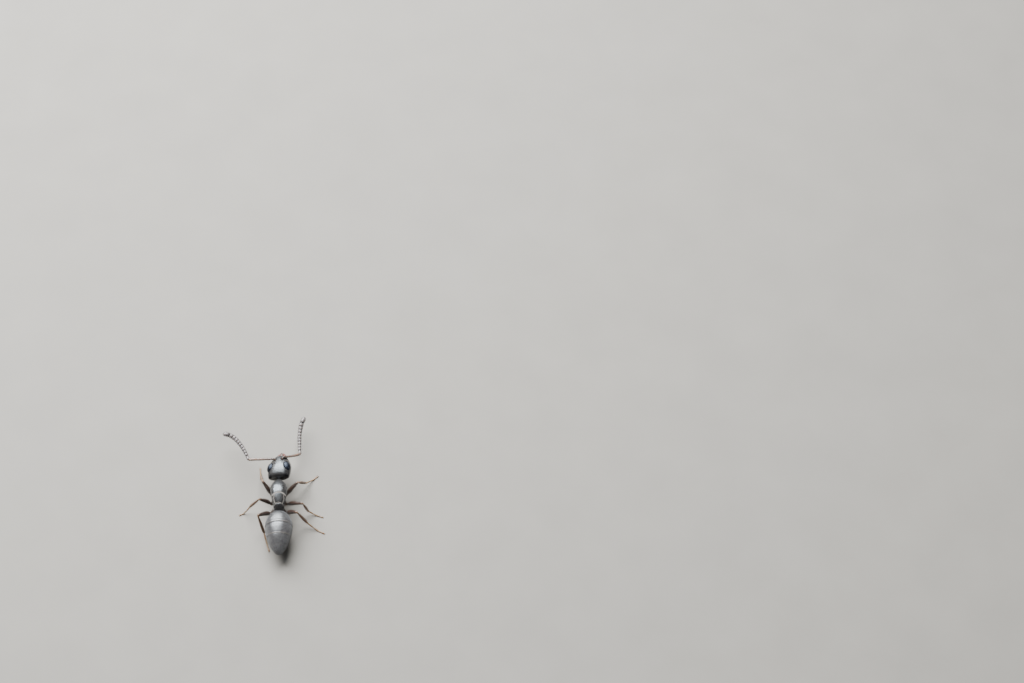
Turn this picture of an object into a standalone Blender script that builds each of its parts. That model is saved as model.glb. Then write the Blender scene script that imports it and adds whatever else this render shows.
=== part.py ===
"""Odorous house ant worker at its real size, 3.2 mm from jaw tips to tail tip.

It stands on six feet with its head turned a little to its right, the left feeler held out
sideways and the right one reaching forward. +Y is the way it faces, +X its right side, +Z up,
and the floor is z = 0. Sizes here are in millimetres and angles in degrees. The objects are
in metres: every mesh and every place is multiplied by MM when it is made.
"""

import math

import bmesh
import bpy
import numpy as np
from mathutils import Matrix, Vector

MM = 0.001
GAP = 0.006  # clear space that two touching pieces keep
SUNK = 0.03  # how deep a feeler's root sits in the face

# The model's origin is on the floor under the middle of the whole ant's box. Every place below
# counts from the floor under the middle of the thorax, which this shift brings into line.
FRAME_SHIFT = (0.1355, -0.40, 0.0)

# Surface colours, linear, each with its roughness
FINISHES = {
    "head_cuticle": ((0.035, 0.028, 0.025), 0.35),
    "eye": ((0.010, 0.012, 0.018), 0.20),
    "mandible": ((0.280, 0.090, 0.035), 0.30),
    "mouthparts": ((0.240, 0.110, 0.050), 0.35),
    "scape": ((0.100, 0.055, 0.035), 0.35),
    "funiculus": ((0.160, 0.130, 0.110), 0.45),
    "thorax_cuticle": ((0.030, 0.025, 0.023), 0.40),
    "gaster_cuticle": ((0.040, 0.038, 0.038), 0.35),
    "femur": ((0.075, 0.040, 0.027), 0.35),
    "tibia": ((0.260, 0.130, 0.060), 0.35),
    "tarsus": ((0.340, 0.200, 0.100), 0.40),
}
SHARP_ANGLE = 50.0  # edges bent further than this keep a crease
CURVE_STEPS = 40  # points that a smooth curve takes between two of its given points
PROBE_STEP = 0.004  # how far apart the face is sampled to find its slope

# Head, in its own frame: origin at its middle, +y to the jaws, +z up out of the face
HEAD_PLACE = (0.03, 0.87, 0.60)
HEAD_TURN = -5.0  # about Z, to its right
HEAD_NOD = -8.0  # about X, nose down
HEAD_TILT = -17.0  # about Y, right side up
HEAD_POWER = 2.1
HEAD_AROUND = 40
HEAD_RINGS = 26
# y, half width, top, widest level, bottom, lean
HEAD_STATIONS = (
    (-0.360, 0.256, 0.078, 0.000, -0.078, 0.0),
    (-0.354, 0.282, 0.110, 0.000, -0.108, 0.0),
    (-0.326, 0.302, 0.148, 0.000, -0.147, 0.0),
    (-0.262, 0.312, 0.185, 0.000, -0.180, 0.0),
    (-0.155, 0.321, 0.210, 0.000, -0.198, 0.0),
    (-0.025, 0.324, 0.216, 0.000, -0.203, 0.0),
    (0.100, 0.300, 0.204, -0.005, -0.192, 0.0),
    (0.205, 0.257, 0.176, -0.012, -0.168, 0.05),
    (0.283, 0.213, 0.140, -0.020, -0.136, 0.12),
    (0.326, 0.180, 0.104, -0.026, -0.104, 0.18),
    (0.340, 0.160, 0.082, -0.030, -0.082, 0.20),
)
# Lip shield: a low swelling of the face between the feelers' sockets and the jaws
SHIELD_RISE = 0.016
SHIELD_REAR = 0.130
SHIELD_FULL = 0.240
SHIELD_HALF_WIDTH = 0.095

# Where a feeler leaves the face, sideways and forward, in a round hollow
SOCKET_PLACE = (0.100, 0.170)
SOCKET_HOLLOW = 0.012
SOCKET_SPREAD = 0.050

EYE_PLACE = (0.262, -0.052)  # sideways and forward, on the face
EYE_HALF_LENGTH = 0.152
EYE_HALF_WIDTH = 0.110
EYE_HALF_DEPTH = 0.094
EYE_SUNK = 0.042
EYE_TURN = 22.0  # front ends towards each other
EYE_SEGMENTS = 20
EYE_RINGS = 12

# Jaw, in the head's frame: how far from the middle and how far ahead of the head's front
JAW_OUTER = 0.142
JAW_INNER = 0.016
JAW_MIDDLE = 0.004
JAW_LENGTH = 0.225
JAW_HEEL = 0.040
JAW_TEETH = 7
JAW_NOTCH = 0.014
JAW_HALF_THICK = 0.040
JAW_TIP_THINNING = 0.55
JAW_DROOP = 0.016
JAW_SWEEP = 3.4  # over 1: the outer edge bows out before it runs in to the tip
JAW_AROUND = 12

# Lip and lower jaws: a pad under the head's front, from rear to front, and two pairs of palps
PAD_POINTS = ((0.0, 0.110, -0.162), (0.0, 0.240, -0.152), (0.0, 0.352, -0.112))
PAD_RADII = ((0.0, 0.020), (0.30, 0.046), (0.70, 0.044), (1.0, 0.022))
PAD_BROADENING = 1.5
PAD_RINGS = 7
PAD_AROUND = 12
OUTER_PALP = ((0.045, 0.290, -0.150), (0.078, 0.262, -0.212), (0.100, 0.165, -0.266), (0.104, 0.030, -0.284))
INNER_PALP = ((0.018, 0.345, -0.112), (0.026, 0.352, -0.162), (0.030, 0.300, -0.204), (0.030, 0.235, -0.222))
PALP_RADII = ((0.0, 0.010), (0.5, 0.0095), (0.9, 0.008), (1.0, 0.005))
PALP_RINGS = 8
PALP_AROUND = 6

# Thorax: y, half width, top, widest level, bottom, lean
PRONOTUM_STATIONS = (
    (0.462, 0.070, 0.682, 0.605, 0.525, 0.0),
    (0.440, 0.090, 0.702, 0.608, 0.495, 0.0),
    (0.385, 0.140, 0.748, 0.626, 0.440, 0.0),
    (0.300, 0.190, 0.800, 0.662, 0.400, 0.0),
    (0.200, 0.232, 0.845, 0.690, 0.385, -0.06),
    (0.100, 0.228, 0.865, 0.705, 0.380, -0.12),
    (0.030, 0.215, 0.864, 0.702, 0.380, -0.16),
    (-0.022, 0.200, 0.850, 0.692, 0.380, -0.20),
)
MESOTHORAX_STATIONS = (
    (-0.028, 0.197, 0.848, 0.691, 0.378, -0.20),
    (-0.120, 0.178, 0.824, 0.668, 0.372, -0.20),
    (-0.210, 0.160, 0.797, 0.636, 0.365, -0.17),
    (-0.285, 0.146, 0.770, 0.605, 0.365, -0.12),
    (-0.310, 0.140, 0.755, 0.598, 0.370, -0.10),
)
PROPODEUM_STATIONS = (
    (-0.316, 0.138, 0.750, 0.597, 0.370, -0.10),
    (-0.342, 0.144, 0.766, 0.590, 0.365, -0.08),
    (-0.392, 0.147, 0.749, 0.575, 0.360, -0.03),
    (-0.450, 0.144, 0.708, 0.555, 0.360, 0.07),
    (-0.500, 0.134, 0.655, 0.530, 0.362, 0.16),
    (-0.542, 0.112, 0.594, 0.495, 0.372, 0.22),
    (-0.568, 0.078, 0.545, 0.470, 0.390, 0.26),
    (-0.580, 0.045, 0.515, 0.460, 0.405, 0.28),
)
THORAX_POWER = 2.3
PLATE_BOW = 0.5  # how far a plate's sides are drawn back where it leans back, as a share of the lean
THORAX_AROUND = 24
PRONOTUM_RINGS = 13
MESOTHORAX_RINGS = 8
PROPODEUM_RINGS = 12

NECK_BACK = 0.030  # how far the neck starts inside the thorax, and ends inside the head
NECK_REACH = 0.045
NECK_DROP = 0.060
NECK_RADII = ((0.0, 0.070), (0.30, 0.064), (0.55, 0.054), (0.85, 0.045), (1.0, 0.028))
NECK_RINGS = 9
NECK_AROUND = 16

# Waist: how far it reaches into thorax and gaster, and its levels on the way
PETIOLE_ROOT = 0.040
PETIOLE_REACH = 0.100
PETIOLE_LEVELS = (0.455, 0.452, 0.415)
PETIOLE_RADII = ((0.0, 0.040), (0.12, 0.056), (0.40, 0.066), (0.70, 0.055), (0.9, 0.050), (1.0, 0.034))
PETIOLE_RINGS = 9
PETIOLE_AROUND = 14

# Gaster: y, half width, top, widest level, bottom, lean
GASTER_STATIONS = (
    (-0.640, 0.100, 0.605, 0.520, 0.450, 0.60),
    (-0.665, 0.190, 0.690, 0.520, 0.380, 0.60),
    (-0.710, 0.265, 0.765, 0.520, 0.320, 0.52),
    (-0.800, 0.338, 0.825, 0.520, 0.255, 0.36),
    (-0.930, 0.377, 0.850, 0.520, 0.205, 0.15),
    (-1.050, 0.378, 0.850, 0.515, 0.190, 0.05),
    (-1.200, 0.350, 0.825, 0.510, 0.200, 0.00),
    (-1.360, 0.308, 0.772, 0.500, 0.232, -0.05),
    (-1.520, 0.250, 0.700, 0.485, 0.280, -0.05),
    (-1.660, 0.182, 0.622, 0.475, 0.336, -0.05),
    (-1.755, 0.112, 0.555, 0.465, 0.386, 0.00),
    (-1.800, 0.052, 0.502, 0.460, 0.424, 0.00),
)
GASTER_POWER = 2.1
GASTER_AROUND = 28
GASTER_CUTS = (-0.98, -1.284, -1.583)
GASTER_FRONT_RINGS = 11
GASTER_FRONT_CROWDING = 1.6  # how the rings crowd towards the front, where it rounds off fastest
GASTER_PLATE_RINGS = 6
PLATE_STEP = 0.03  # how much smaller a plate's front edge is than the rim it slides under

# Feelers: elbow, then the points that the whip passes through
ANTENNAE = {
    "left": ((-0.840, 1.11, 0.67), (-1.000, 1.471, 0.68), (-1.206, 1.766, 0.68), (-1.403, 1.913, 0.68),
             (-1.561, 1.930, 0.68)),
    "right": ((0.595, 1.43, 0.42), (0.583, 1.60, 0.40), (0.583, 2.02, 0.42), (0.631, 2.37, 0.46),
              (0.728, 2.595, 0.50)),
}
SCAPE_RADII = ((0.0, 0.020), (0.04, 0.024), (0.08, 0.018), (0.18, 0.025), (0.55, 0.032), (0.90, 0.036),
               (0.985, 0.034), (1.0, 0.026))
SCAPE_SHARES = (0, 0.015, 0.04, 0.06, 0.08, 0.11, 0.15, 0.2, 0.35, 0.55, 0.75, 0.9, 0.96, 1.0)
SCAPE_NECK = {
    "left": ((0.022, 0.004), (0.040, 0.030), (0.040, 0.085)),
    "right": ((0.022, 0.004), (0.050, 0.030), (0.060, 0.085)),
}  # out of the face, and along the joint
SCAPE_BOW = {"left": 0.0, "right": -0.018}
SCAPE_AROUND = 10
SOCKET_RINGS = 7  # how many of the joint's first rings the socket takes in
WHIP_JOINTS = (1.5, 1.0, 1.0, 1.0, 1.0, 1.0, 1.0, 1.05, 1.1, 1.15, 2.2)  # lengths, root to tip
WHIP_BASE_JOINTS = 5
WHIP_SUNK = 0.012
WHIP_ROOT_RADIUS = 0.040
WHIP_TIP_RADIUS = 0.065
WHIP_SWELLING = 0.6  # under 1: most of the thickening happens in the first joints
WHIP_BEAD = ((0.0, 0.62), (0.2, 0.90), (0.65, 1.0), (0.93, 0.92))  # share of a joint, share of its width
WHIP_LAST_BEAD = ((0.0, 0.62), (0.15, 0.90), (0.50, 1.0), (0.84, 0.72), (1.0, 0.25))
WHIP_END = 0.62
WHIP_AROUND = 8
WHIP_SOCKET_RINGS = 4

# Legs: where a coxa grows, as y, a share of the plate's half width and a share of the way down
COXA_ROOTS = {"fore": (0.27, 0.61, 0.79), "mid": (-0.08, 0.61, 0.80), "hind": (-0.375, 0.68, 0.70)}
HIPS = {"fore": (0.190, 0.20, 0.22), "mid": (0.190, -0.10, 0.25), "hind": (0.190, -0.40, 0.27)}
# Knee, ankle and toe
LEGS = {
    "fore_left": ((-0.453, 0.424, 0.65), (-0.490, 0.76, 0.27), (-0.52, 1.20, 0.0)),
    "fore_right": ((0.52, 0.40, 0.62), (0.74, 0.62, 0.20), (1.09, 0.94, 0.0)),
    "mid_left": ((-0.54, -0.22, 0.76), (-0.80, -0.18, 0.27), (-1.08, -0.30, 0.0)),
    "mid_right": ((0.658, -0.356, 0.75), (0.81, -0.25, 0.15), (1.22, -0.38, 0.0)),
    "hind_left": ((-0.578, -0.725, 0.75), (-0.41, -0.936, 0.15), (-0.27, -1.447, 0.0)),
    "hind_right": ((0.50, -0.66, 0.80), (0.77, -0.64, 0.20), (1.25, -0.90, 0.0)),
}
LEG_STOUTNESS = {"fore": 1.0, "mid": 0.96, "hind": 1.05}
COXA_RADII = ((0.0, 0.045), (0.15, 0.060), (0.45, 0.062), (0.75, 0.050), (1.0, 0.034))
COXA_SHARES = (0, 0.08, 0.2, 0.4, 0.6, 0.8, 1.0)
COXA_AROUND = 12
FEMUR_RADII = ((0.0, 0.020), (0.04, 0.034), (0.10, 0.034), (0.14, 0.026), (0.24, 0.046), (0.42, 0.060),
               (0.65, 0.053), (0.85, 0.040), (0.95, 0.037), (1.0, 0.022))
FEMUR_SHARES = (0, 0.03, 0.07, 0.11, 0.15, 0.2, 0.3, 0.42, 0.55, 0.7, 0.85, 0.95, 1.0)
FEMUR_AROUND = 10
TIBIA_RADII = ((0.0, 0.014), (0.03, 0.024), (0.10, 0.021), (0.30, 0.030), (0.65, 0.038), (0.90, 0.037),
               (1.0, 0.026))
TIBIA_SHARES = (0, 0.02, 0.06, 0.12, 0.25, 0.45, 0.7, 0.9, 1.0)
TIBIA_AROUND = 8
TARSUS_JOINTS = (2.1, 0.95, 0.65, 0.5, 0.9)  # lengths, ankle to toe
TARSUS_BEAD = ((0.0, 0.62), (0.25, 0.78), (0.88, 1.0))
TARSUS_RADIUS = 0.019
TARSUS_ROOT_STOUTNESS = 1.12
TARSUS_END = 0.7
TARSUS_AROUND = 8
TOE_LEVEL = 0.013  # height of the toe's middle, low enough to flatten its sole on the floor
FOOT_SUNK = 0.02
FOOT_LINE = ((0.0, 1.0), (0.36, 0.36), (0.64, 0.05), (0.80, 0.0), (1.0, 0.0))  # share along, share of height
THIGH_BOW = 0.05

# Claws and shin spurs: root radius and tip radius, then steps ahead, sideways and up from the toe
CLAW_RADII = ((0.0, 0.0062), (0.5, 0.0048), (1.0, 0.0012))
CLAW_STEPS = ((-0.010, 0.003, 0.0), (0.010, 0.010, 0.003), (0.024, 0.018, 0.001), (0.034, 0.022, -0.007))
SPUR_RADII = ((0.0, 0.0075), (0.5, 0.0055), (1.0, 0.0014))
SPUR_BACK = 0.034
SPUR_ASIDE = (0.020, 0.032, 0.043, 0.051)
SPUR_AHEAD = (0.0, 0.006, 0.038, 0.068)
SPINE_RINGS = 4
SPINE_AROUND = 5

HEAD_MATRIX = (
    Matrix.Translation(Vector(HEAD_PLACE))
    @ Matrix.Rotation(math.radians(HEAD_TURN), 4, "Z")
    @ Matrix.Rotation(math.radians(HEAD_NOD), 4, "X")
    @ Matrix.Rotation(math.radians(HEAD_TILT), 4, "Y")
)


# Curves and rings


def eased(at, xs, ys):
    """Values at `at` on a curve through (xs, ys) that never overshoots its points."""
    xs = np.asarray(xs, float)
    ys = np.asarray(ys, float)
    if xs[0] > xs[-1]:
        xs = xs[::-1]
        ys = ys[::-1]
    step = np.diff(xs)
    rise = np.diff(ys) / step
    slope = np.zeros(len(xs))
    slope[0] = rise[0]
    slope[-1] = rise[-1]
    for i in range(1, len(xs) - 1):
        if rise[i - 1] * rise[i] > 0:
            slope[i] = 2.0 / (1.0 / rise[i - 1] + 1.0 / rise[i])
    at = np.asarray(at, float)
    i = np.clip(np.searchsorted(xs, at, side="right") - 1, 0, len(step) - 1)
    t = (at - xs[i]) / step[i]
    first = (1 + 2 * t) * (1 - t) ** 2 * ys[i] + t * (1 - t) ** 2 * step[i] * slope[i]
    second = t**2 * (3 - 2 * t) * ys[i + 1] - t**2 * (1 - t) * step[i] * slope[i + 1]
    return first + second


def path_through(points, shares):
    """Points and directions at shares of the length of a smooth curve through `points`, and its length."""
    keys = np.asarray(points, float)
    ends = np.vstack((2 * keys[0] - keys[1], keys, 2 * keys[-1] - keys[-2]))
    t = np.linspace(0, 1, CURVE_STEPS, endpoint=False)[:, None]
    fine = []
    for a, b, c, d in zip(ends, ends[1:], ends[2:], ends[3:]):
        fine.append(0.5 * (2 * b + (c - a) * t + (2 * a - 5 * b + 4 * c - d) * t**2
                           + (3 * b - a - 3 * c + d) * t**3))
    fine = np.vstack((*fine, keys[-1]))
    length = np.append(0, np.cumsum(np.linalg.norm(np.diff(fine, axis=0), axis=1)))
    at = np.asarray(shares, float) * length[-1]
    spots = np.stack([np.interp(at, length, fine[:, k]) for k in range(3)], axis=1)
    slope = np.gradient(fine, length, axis=0)
    aims = np.stack([np.interp(at, length, slope[:, k]) for k in range(3)], axis=1)
    return spots, aims / np.linalg.norm(aims, axis=1)[:, None], length[-1]


def body_rings(stations, ys, around, power, scale=1.0, bow=0.0):
    """Rounded rings along Y. A ring leans forward at its top by its lean times the height, and the
    sides of one that leans back are drawn back by `bow` times the lean."""
    table = np.asarray(stations, float)
    half, top, level, bottom, lean = (eased(ys, table[:, 0], table[:, k])[:, None] for k in range(1, 6))
    angle = 2 * math.pi * np.arange(around) / around
    across = np.sign(np.cos(angle)) * np.abs(np.cos(angle)) ** (2 / power)
    height = np.sign(np.sin(angle)) * np.abs(np.sin(angle)) ** (2 / power)
    scale = np.broadcast_to(np.asarray(scale, float), (len(ys),))[:, None]
    x = half * scale * across
    z = np.where(height > 0, (top - level) * height, (level - bottom) * height) * scale
    y = np.asarray(ys)[:, None] + lean * z + bow * np.minimum(lean, 0) * across**2
    return np.stack((x, y, level + z), axis=-1)


def tube_rings(points, radii, shares, around, grow=0.0):
    """Round rings square to a curve. `grow` swells the tube and lengthens both ends by as much."""
    spots, aims, _ = path_through(points, shares)
    width = eased(shares, *zip(*radii)) + grow
    spots[0] -= aims[0] * grow
    spots[-1] += aims[-1] * grow
    side = Vector(aims[0]).orthogonal().normalized()
    angle = 2 * math.pi * np.arange(around) / around
    rings = []
    for i, spot in enumerate(spots):
        if i:
            side = Vector(aims[i - 1]).rotation_difference(Vector(aims[i])) @ side
        other = Vector(aims[i]).cross(side)
        rings.append(spot + width[i] * (np.outer(np.cos(angle), side) + np.outer(np.sin(angle), other)))
    return np.array(rings)


def even(first, last, count):
    return np.linspace(first, last, count)


def rounded(first, last, count):
    """Steps that crowd towards both ends, where a rounded end turns fastest."""
    return first + (last - first) * (1 - np.cos(math.pi * np.arange(count) / (count - 1))) / 2


def beads(joints, first, last, bead):
    """Shares of a limb's whole length, and of each joint's width, for its joints `first` to `last`."""
    ends = np.append(0, np.cumsum(joints)) / sum(joints)
    shares = []
    parts = []
    owners = []
    for i in range(first, last):
        for share, part in bead:
            shares.append(ends[i] + (ends[i + 1] - ends[i]) * share)
            parts.append(part)
            owners.append(i)
    return shares, parts, owners


# Objects


def finish(name):
    """A dielectric surface of one colour."""
    made = bpy.data.materials.get(name)
    if made is None:
        colour, roughness = FINISHES[name]
        made = bpy.data.materials.new(name)
        made.use_nodes = True
        shader = made.node_tree.nodes["Principled BSDF"]
        shader.inputs["Base Color"].default_value = (*colour, 1.0)
        shader.inputs["Roughness"].default_value = roughness
        shader.inputs["Metallic"].default_value = 0.0
    return made


def empty(name, matrix, carrier=None):
    made = bpy.data.objects.new(name, None)
    bpy.context.scene.collection.objects.link(made)
    made.parent = carrier
    made.matrix_local = matrix
    return made


def place_object(name, bm, surface, place, carrier):
    """A smooth-shaded object whose origin is at `place`, carried by an empty."""
    mesh = bpy.data.meshes.new(name)
    bm.to_mesh(mesh)
    bm.free()
    mesh.shade_smooth()
    mesh.set_sharp_from_angle(angle=math.radians(SHARP_ANGLE))
    mesh.materials.append(finish(surface))
    made = bpy.data.objects.new(name, mesh)
    bpy.context.scene.collection.objects.link(made)
    made.parent = carrier
    made.location = Vector(place) * MM
    return made


def skin(name, rings, surface, place, carrier, fans=False):
    """A closed solid over rings of equally many points, with a flat cap on each end or, where the
    end rings are bowed, a fan round their middle."""
    bm = bmesh.new()
    local = (np.asarray(rings) - np.asarray(place, float)) * MM
    loops = [[bm.verts.new(point) for point in ring] for ring in local]
    around = len(loops[0])
    for first, second in zip(loops, loops[1:]):
        for i in range(around):
            j = (i + 1) % around
            bm.faces.new((first[i], first[j], second[j], second[i]))
    caps = [bm.faces.new(loops[0][::-1]), bm.faces.new(loops[-1])]
    if fans:
        bmesh.ops.poke(bm, faces=caps, center_mode="MEAN")
    if bm.calc_volume(signed=True) < 0:
        bmesh.ops.reverse_faces(bm, faces=bm.faces)
    return place_object(name, bm, surface, place, carrier)


def apply_modifiers(target):
    bpy.context.view_layer.update()
    graph = bpy.context.evaluated_depsgraph_get()
    made = bpy.data.meshes.new_from_object(target.evaluated_get(graph))
    old = target.data
    target.modifiers.clear()
    target.data = made
    bpy.data.meshes.remove(old)


def keep_largest(target):
    """Drops loose scraps that a cut leaves."""
    bm = bmesh.new()
    bm.from_mesh(target.data)
    left = set(bm.verts)
    shells = []
    while left:
        queue = [left.pop()]
        shell = set(queue)
        while queue:
            for edge in queue.pop().link_edges:
                for vert in edge.verts:
                    if vert in left:
                        left.discard(vert)
                        shell.add(vert)
                        queue.append(vert)
        shells.append(shell)
    shells.sort(key=len)
    scraps = [vert for shell in shells[:-1] for vert in shell]
    bmesh.ops.delete(bm, geom=scraps, context="VERTS")
    bm.to_mesh(target.data)
    bm.free()


def carve(target, cutter):
    """Takes the cutter's space out of the target, and removes the cutter."""
    cutter.hide_render = True
    cutter.display_type = "WIRE"
    cut = target.modifiers.new("seat", "BOOLEAN")
    cut.operation = "DIFFERENCE"
    cut.solver = "EXACT"
    cut.object = cutter
    apply_modifiers(target)
    bpy.data.objects.remove(cutter, do_unlink=True)
    keep_largest(target)


def join(target, pieces):
    """Fuses closed pieces into the target as one closed body."""
    group = bpy.data.collections.new("joined")
    for piece in pieces:
        for holder in list(piece.users_collection):
            holder.objects.unlink(piece)
        group.objects.link(piece)
    bpy.context.scene.collection.children.link(group)
    union = target.modifiers.new("joined", "BOOLEAN")
    union.operation = "UNION"
    union.solver = "EXACT"
    union.operand_type = "COLLECTION"
    union.collection = group
    apply_modifiers(target)
    for piece in pieces:
        bpy.data.objects.remove(piece, do_unlink=True)
    bpy.data.collections.remove(group)
    keep_largest(target)


# Head


def face_relief(x, y):
    """How far the face stands out at (x, y): up at the lip shield, down in the feelers' sockets."""
    along = np.clip((y - SHIELD_REAR) / (SHIELD_FULL - SHIELD_REAR), 0, 1)
    shield = SHIELD_RISE * along**2 * (3 - 2 * along) * np.exp(-((x / SHIELD_HALF_WIDTH) ** 2))
    off = ((np.abs(x) - SOCKET_PLACE[0]) ** 2 + (y - SOCKET_PLACE[1]) ** 2) / SOCKET_SPREAD**2
    return shield - SOCKET_HOLLOW * np.exp(-off)


def head_surface(x, y):
    """The point of the face above (x, y) in the head's frame, and the direction out of it."""
    table = np.asarray(HEAD_STATIONS, float)

    def point(px, py):
        half, top, level = (float(eased(py, table[:, 0], table[:, k])) for k in (1, 2, 3))
        height = (1 - min(abs(px) / half, 1.0) ** HEAD_POWER) ** (1 / HEAD_POWER)
        return Vector((px, py, level + (top - level) * height + float(face_relief(px, py))))

    spot = point(x, y)
    out = (point(x + PROBE_STEP, y) - spot).cross(point(x, y + PROBE_STEP) - spot).normalized()
    return spot, out


def head_solid(carrier):
    ys = rounded(HEAD_STATIONS[0][0], HEAD_STATIONS[-1][0], HEAD_RINGS)
    rings = body_rings(HEAD_STATIONS, ys, HEAD_AROUND, HEAD_POWER)
    level = eased(ys, *zip(*[(s[0], s[3]) for s in HEAD_STATIONS]))[:, None]
    top = rings[..., 2].max(axis=1)[:, None]
    upward = np.clip((rings[..., 2] - level) / (top - level), 0, 1)
    rings[..., 2] += face_relief(rings[..., 0], rings[..., 1]) * upward
    return skin("head", rings, "head_cuticle", (0, 0, 0), carrier)


def eye_solid(side, carrier, grow=0.0):
    """A flattened egg laid on the slope of the face. `grow` gives the cutter for its seat."""
    spot, out = head_surface(side * EYE_PLACE[0], EYE_PLACE[1])
    bm = bmesh.new()
    bmesh.ops.create_uvsphere(bm, u_segments=EYE_SEGMENTS, v_segments=EYE_RINGS, radius=1.0)
    sizes = [(half + grow) * MM for half in (EYE_HALF_WIDTH, EYE_HALF_LENGTH, EYE_HALF_DEPTH)]
    bmesh.ops.scale(bm, vec=sizes, verts=bm.verts)
    name = "eye_left" if side < 0 else "eye_right"
    made = place_object(name, bm, "eye", spot - out * EYE_SUNK, carrier)
    across = Vector((0, 1, 0)).cross(out).normalized()
    turn = Matrix((across, out.cross(across), out)).transposed()
    lean = Matrix.Rotation(math.radians(side * EYE_TURN), 3, "Z")
    made.rotation_euler = (turn @ lean).to_euler()
    return made


def mandible_solid(side, carrier):
    """A three-cornered jaw: round and thick outside, drawn out to a thin toothed edge inside."""
    front, _, _, level, _, lean = HEAD_STATIONS[-1]
    heel = JAW_HEEL / JAW_LENGTH
    ahead = [0.0, heel] + [heel + (1 - heel) * k / (2 * JAW_TEETH) for k in range(1, 2 * JAW_TEETH + 1)]
    rings = []
    for i, share in enumerate(ahead):
        outer = JAW_MIDDLE + (JAW_OUTER - JAW_MIDDLE) * (1 - share**JAW_SWEEP)
        inner = JAW_INNER if i == 0 else JAW_MIDDLE + JAW_NOTCH * (i % 2 == 0) * (1 - share / 2)
        outer = max(outer, inner + JAW_MIDDLE)
        ring = []
        for j in range(JAW_AROUND):
            angle = 2 * math.pi * j / JAW_AROUND
            part = (1 - math.cos(angle)) / 2
            half = JAW_HALF_THICK * (1 - JAW_TIP_THINNING * share) * math.sqrt(part * (1 - part**4))
            z = math.copysign(half, math.sin(angle)) if 0 < part < 1 else 0.0
            y = front + GAP + JAW_LENGTH * share + lean * z * (1 - share)
            ring.append((side * (inner + (outer - inner) * part), y, level + z - JAW_DROOP * share**2))
        rings.append(ring)
    name = "mandible_left" if side < 0 else "mandible_right"
    return skin(name, rings, "mandible", (0, 0, 0), carrier)


def pad_solid(name, carrier, grow=0.0):
    rings = tube_rings(PAD_POINTS, PAD_RADII, even(0, 1, PAD_RINGS), PAD_AROUND, grow)
    rings[..., 0] *= PAD_BROADENING
    return skin(name, rings, "mouthparts", PAD_POINTS[0], carrier)


def palp_solid(points, side, carrier):
    mirrored = [(side * x, y, z) for x, y, z in points]
    rings = tube_rings(mirrored, PALP_RADII, even(0, 1, PALP_RINGS), PALP_AROUND)
    return skin("palp", rings, "mouthparts", mirrored[0], carrier)


def mouthparts_solid(head, carrier):
    """Lip and lower jaws as one pad, seated under the head, with two pairs of palps."""
    pad = pad_solid("mouthparts", carrier)
    join(pad, [palp_solid(points, side, carrier) for side in (-1, 1) for points in (OUTER_PALP, INNER_PALP)])
    carve(head, pad_solid("cutter", carrier, GAP))


# Feelers


def whip_profile(first, last):
    """Shares of the whip's length and radii for its joints `first` to `last`, like a string of beads."""
    count = len(WHIP_JOINTS)
    shares, parts, owners = beads(WHIP_JOINTS, first, min(last, count - 1), WHIP_BEAD)
    if last == count:
        more = beads(WHIP_JOINTS, count - 1, count, WHIP_LAST_BEAD)
        shares, parts, owners = (one + other for one, other in zip((shares, parts, owners), more))
    else:
        shares.append(sum(WHIP_JOINTS[:last]) / sum(WHIP_JOINTS))
        parts.append(WHIP_END)
        owners.append(last - 1)
    swell = (np.asarray(owners) / (count - 1)) ** WHIP_SWELLING
    return shares, (WHIP_ROOT_RADIUS + (WHIP_TIP_RADIUS - WHIP_ROOT_RADIUS) * swell) * parts


def scape_line(side, word):
    """The middle line of a feeler's long first joint, from inside its socket to the elbow."""
    spot, out = head_surface(side * SOCKET_PLACE[0], SOCKET_PLACE[1])
    spot = HEAD_MATRIX @ spot
    out = HEAD_MATRIX.to_3x3() @ out
    elbow = Vector(ANTENNAE[word][0])
    aim = (elbow - spot).normalized()
    line = [spot - out * SUNK]
    for lift, along in SCAPE_NECK[word]:
        line.append(spot + out * lift + aim * along)
    return line + [line[-1].lerp(elbow, 0.5) + out * SCAPE_BOW[word], elbow]


def antenna_solids(side, head, ant):
    """A long first joint out of its socket in the face, then a whip of eleven joints."""
    word = "left" if side < 0 else "right"
    line = scape_line(side, word)
    rings = tube_rings(line, SCAPE_RADII, SCAPE_SHARES, SCAPE_AROUND)
    scape = skin(f"scape_{word}", rings, "scape", line[0], ant)
    rings = tube_rings(line, SCAPE_RADII, SCAPE_SHARES, SCAPE_AROUND, GAP)[:SOCKET_RINGS]
    carve(head, skin("cutter", rings, "scape", line[0], ant))
    elbow = line[-1]
    reach = Vector(ANTENNAE[word][1]) - elbow
    whip = [elbow - reach.normalized() * WHIP_SUNK, *ANTENNAE[word][1:]]
    shares, radii = whip_profile(0, WHIP_BASE_JOINTS)
    profile = list(zip(shares, radii))
    rings = tube_rings(whip, profile, shares, WHIP_AROUND)
    skin(f"funiculus_base_{word}", rings, "funiculus", whip[0], ant)
    rings = tube_rings(whip, profile, shares, WHIP_AROUND, GAP)[:WHIP_SOCKET_RINGS]
    carve(scape, skin("cutter", rings, "funiculus", whip[0], ant))
    shares, radii = whip_profile(WHIP_BASE_JOINTS, len(WHIP_JOINTS))
    shares[0] += GAP / path_through(whip, (0, 1))[2]
    rings = tube_rings(whip, list(zip(shares, radii)), shares, WHIP_AROUND)
    skin(f"funiculus_tip_{word}", rings, "funiculus", rings[0].mean(axis=0), ant)


# Thorax, waist and gaster


def plate_solid(name, stations, ys, carrier):
    rings = body_rings(stations, ys, THORAX_AROUND, THORAX_POWER, bow=PLATE_BOW)
    return skin(name, rings, "thorax_cuticle", (0, 0, 0), carrier, fans=True)


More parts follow.
